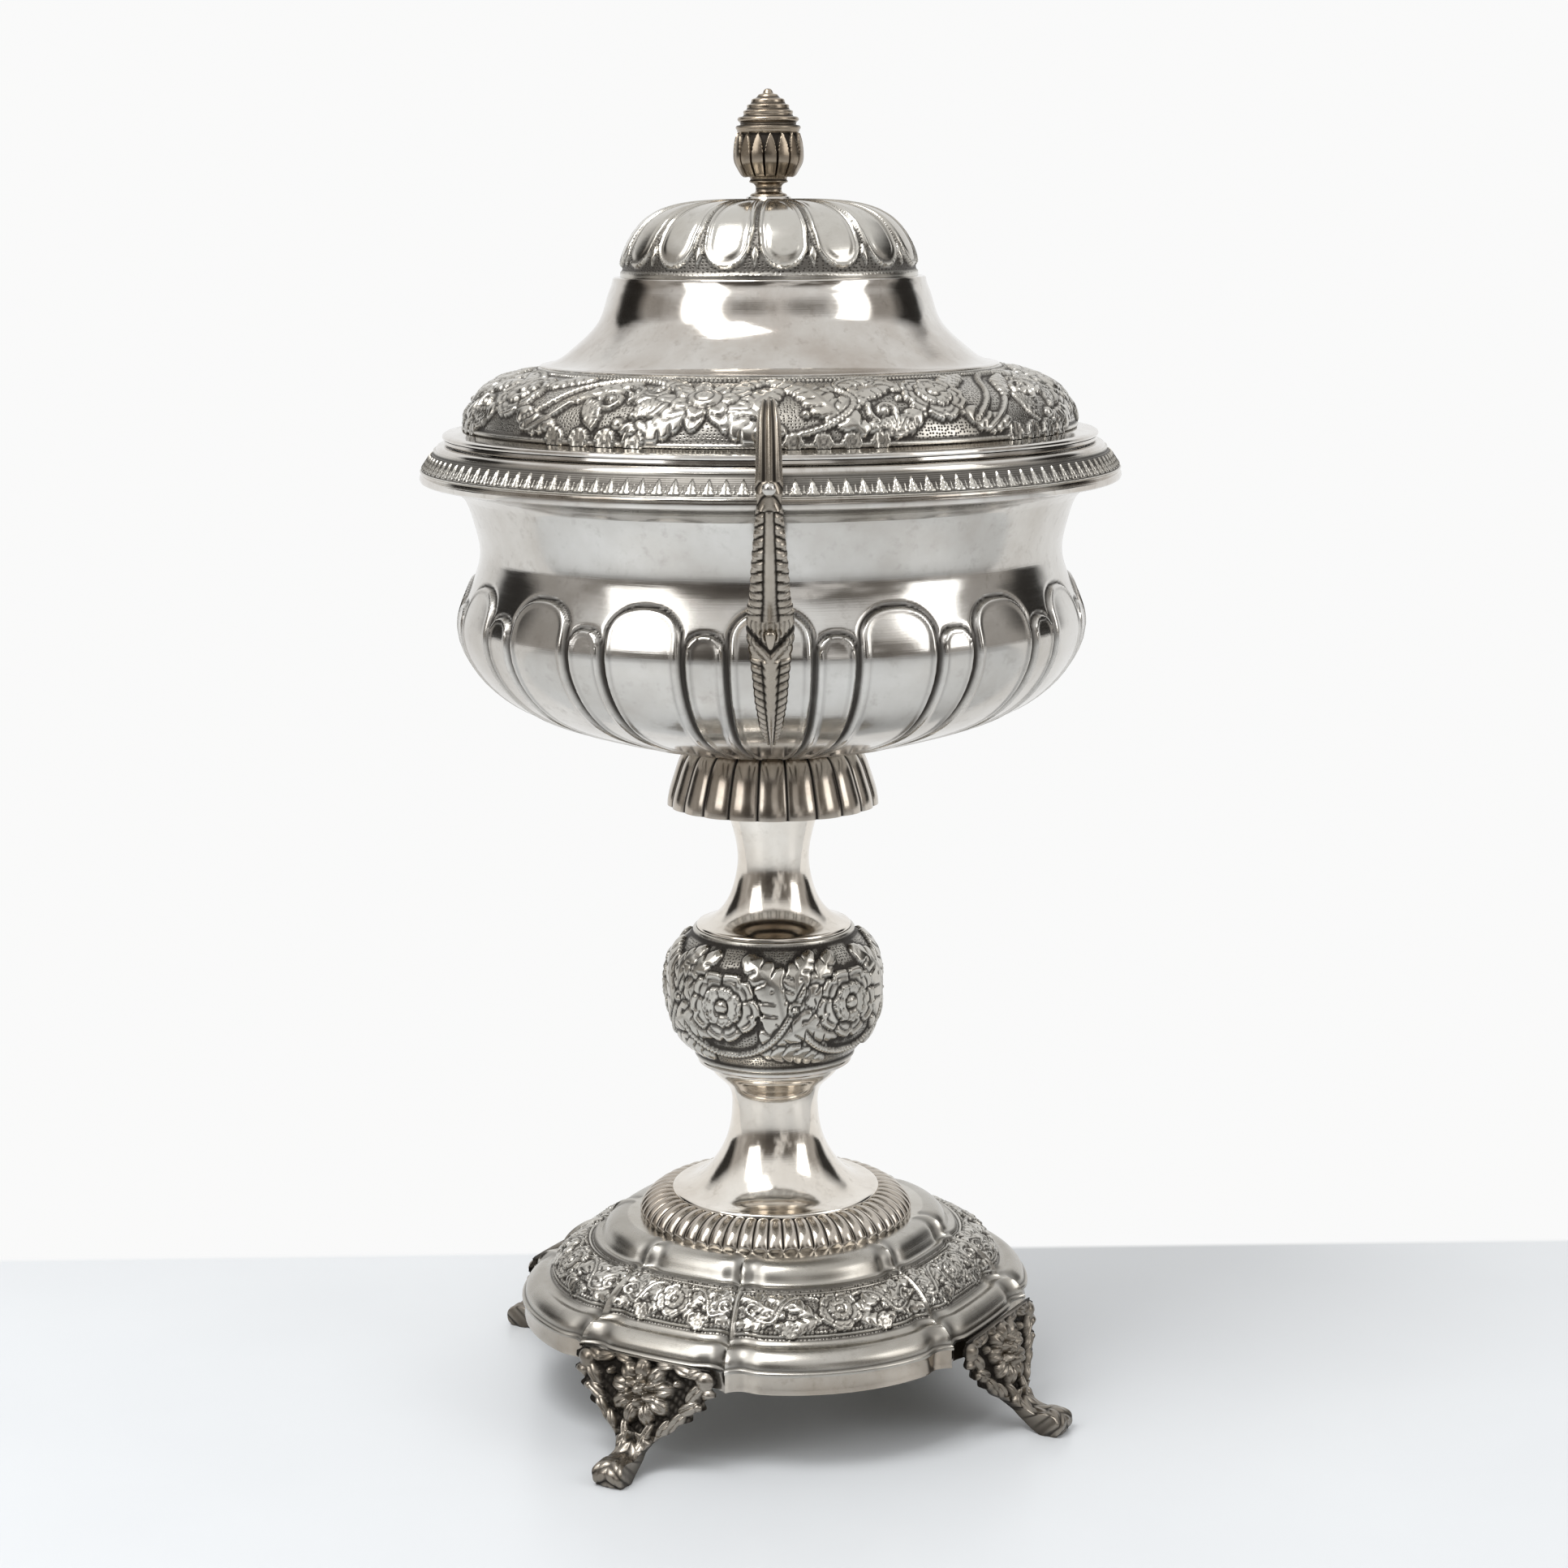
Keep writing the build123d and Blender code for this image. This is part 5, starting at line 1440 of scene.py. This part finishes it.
def stage_floor():
    """Pale table up to its back edge, and plain white beyond it."""
    material, tree, out = node_tree("pale_table_and_white_wall")
    link = tree.links.new
    place = add(tree, "ShaderNodeTexCoord").outputs["Object"]
    split = add(tree, "ShaderNodeSeparateXYZ")
    link(place, split.inputs[0])
    slanted = sums(tree, "ADD", split.outputs[1], sums(tree, "MULTIPLY", split.outputs[0], -0.02))
    past_edge = sums(tree, "MULTIPLY", sums(tree, "SUBTRACT", slanted, TABLE_EDGE), 60.0)
    beyond = ramp(tree, sums(tree, "ADD", past_edge, 0.5), [(0.40, grey(0)), (0.60, grey(1))])
    marks = add(tree, "ShaderNodeTexNoise", in_Scale=9.0, in_Detail=5.0)
    link(place, marks.inputs["Vector"])
    table = add(tree, "ShaderNodeBsdfPrincipled", in_Roughness=0.32)
    table.inputs["Specular IOR Level"].default_value = 0.35
    pale = ramp(tree, marks.outputs[0],
                [(0.3, (0.640, 0.660, 0.680)), (0.75, (0.670, 0.690, 0.708))])
    link(pale, table.inputs["Base Color"])
    wall = add(tree, "ShaderNodeEmission", in_Color=(0.955, 0.955, 0.953, 1), in_Strength=1.0)
    both = tree.nodes.new("ShaderNodeMixShader")
    link(beyond, both.inputs[0])
    link(table.outputs[0], both.inputs[1])
    link(wall.outputs[0], both.inputs[2])
    link(both.outputs[0], out.inputs[0])
    size = 6.0
    corner = np.array([(-size, -size, 0), (size, -size, 0), (size, size, 0), (-size, size, 0)]) / MM
    floor = write_mesh("floor", corner, [np.array([[0, 1, 2, 3]])], False)
    floor.data.materials.append(material)


def room():
    """Studio round the vessel.

    Seen from the vessel, y of a direction runs from -1 at the camera to 1 at the backdrop:
    a dim warm room in front, grey beside, dark flags next to the backdrop, then white. Above
    the flags the ceiling is white, and soft bright patches hang in the front.
    """
    world = bpy.data.worlds.new("studio")
    bpy.context.scene.world = world
    world.use_nodes = True
    tree = world.node_tree
    tree.nodes.clear()
    link = tree.links.new
    out = tree.nodes.new("ShaderNodeOutputWorld")
    light = tree.nodes.new("ShaderNodeBackground")
    way = add(tree, "ShaderNodeTexCoord").outputs["Generated"]
    split = add(tree, "ShaderNodeSeparateXYZ")
    link(way, split.inputs[0])
    soft = add(tree, "ShaderNodeTexNoise", in_Scale=2.6, in_Detail=4.0, in_Roughness=0.6)
    link(way, soft.inputs["Vector"])
    wobble = sums(tree, "MULTIPLY", sums(tree, "SUBTRACT", soft.outputs[0], 0.5), 0.16)
    back = sums(tree, "ADD", sums(tree, "MULTIPLY", split.outputs[1], 0.5), 0.5)
    ring = ramp(tree, sums(tree, "ADD", back, wobble),
                [(0.00, (0.07, 0.062, 0.056)), (0.10, (0.16, 0.145, 0.13)),
                 (0.30, (0.30, 0.28, 0.26)), (0.58, (0.44, 0.42, 0.40)),
                 (0.66, (0.03, 0.028, 0.026)), (0.80, (0.03, 0.028, 0.026)),
                 (0.85, (0.93, 0.93, 0.928)), (0.90, (0.955, 0.955, 0.953))])
    patches = ramp(tree, soft.outputs[0], [(0.52, grey(0)), (0.60, grey(0.85))])
    facing = ramp(tree, back, [(0.28, grey(1)), (0.50, grey(0))])
    lit = mixed(tree, sums(tree, "MULTIPLY", patches, facing), ring, (0.86, 0.84, 0.82, 1))
    up = ramp(tree, sums(tree, "ADD", split.outputs[2], wobble), [(0.42, grey(0)), (0.62, grey(1))])
    lit = mixed(tree, up, lit, (0.92, 0.92, 0.92, 1))
    link(lit, light.inputs["Color"])
    link(light.outputs[0], out.inputs[0])


def soft_panel(name, place, aim, size, power, tint=(1, 1, 1)):
    """Rectangular soft light at a place in metres, turned towards a point."""
    data = bpy.data.lights.new(name, "AREA")
    data.shape = "RECTANGLE"
    data.size, data.size_y = size
    data.energy = power
    data.color = tint
    lamp = bpy.data.objects.new(name, data)
    lamp.location = place
    lamp.rotation_euler = (Vector(aim) - Vector(place)).to_track_quat("-Z", "Y").to_euler()
    bpy.context.scene.collection.objects.link(lamp)


stage_floor()
room()
soft_panel("panel_left", (-1.1, -0.9, 1.0), (0, 0, 0.2), (0.8, 1.1), 6.0)
soft_panel("panel_right", (1.25, -0.6, 0.8), (0, 0, 0.18), (0.6, 0.9), 4.0)
soft_panel("panel_top", (-0.40, -0.45, 1.35), (0, 0, 0.1), (0.6, 0.6), 10.0)

CAMERA_BACK = 0.8268
CAMERA_HIGH = 0.3293
CAMERA_SIDE = 0.0031
TILT_DOWN = math.radians(10.75)
ROLL = math.radians(-0.36)
LENS = 69.9
camera_data = bpy.data.cameras.new("camera")
camera_data.sensor_width = 36.0
camera_data.lens = LENS
camera_data.dof.use_dof = False
camera_data.clip_start = 0.01
camera = bpy.data.objects.new("camera", camera_data)
bpy.context.scene.collection.objects.link(camera)
camera.location = (CAMERA_SIDE, -CAMERA_BACK, CAMERA_HIGH)
camera.rotation_mode = "XYZ"
camera.rotation_euler = (Matrix.Rotation(math.pi / 2 - TILT_DOWN, 3, "X")
                         @ Matrix.Rotation(ROLL, 3, "Z")).to_euler()
bpy.context.scene.camera = camera
bpy.context.scene.view_settings.view_transform = "Standard"
bpy.context.scene.view_settings.look = "None"
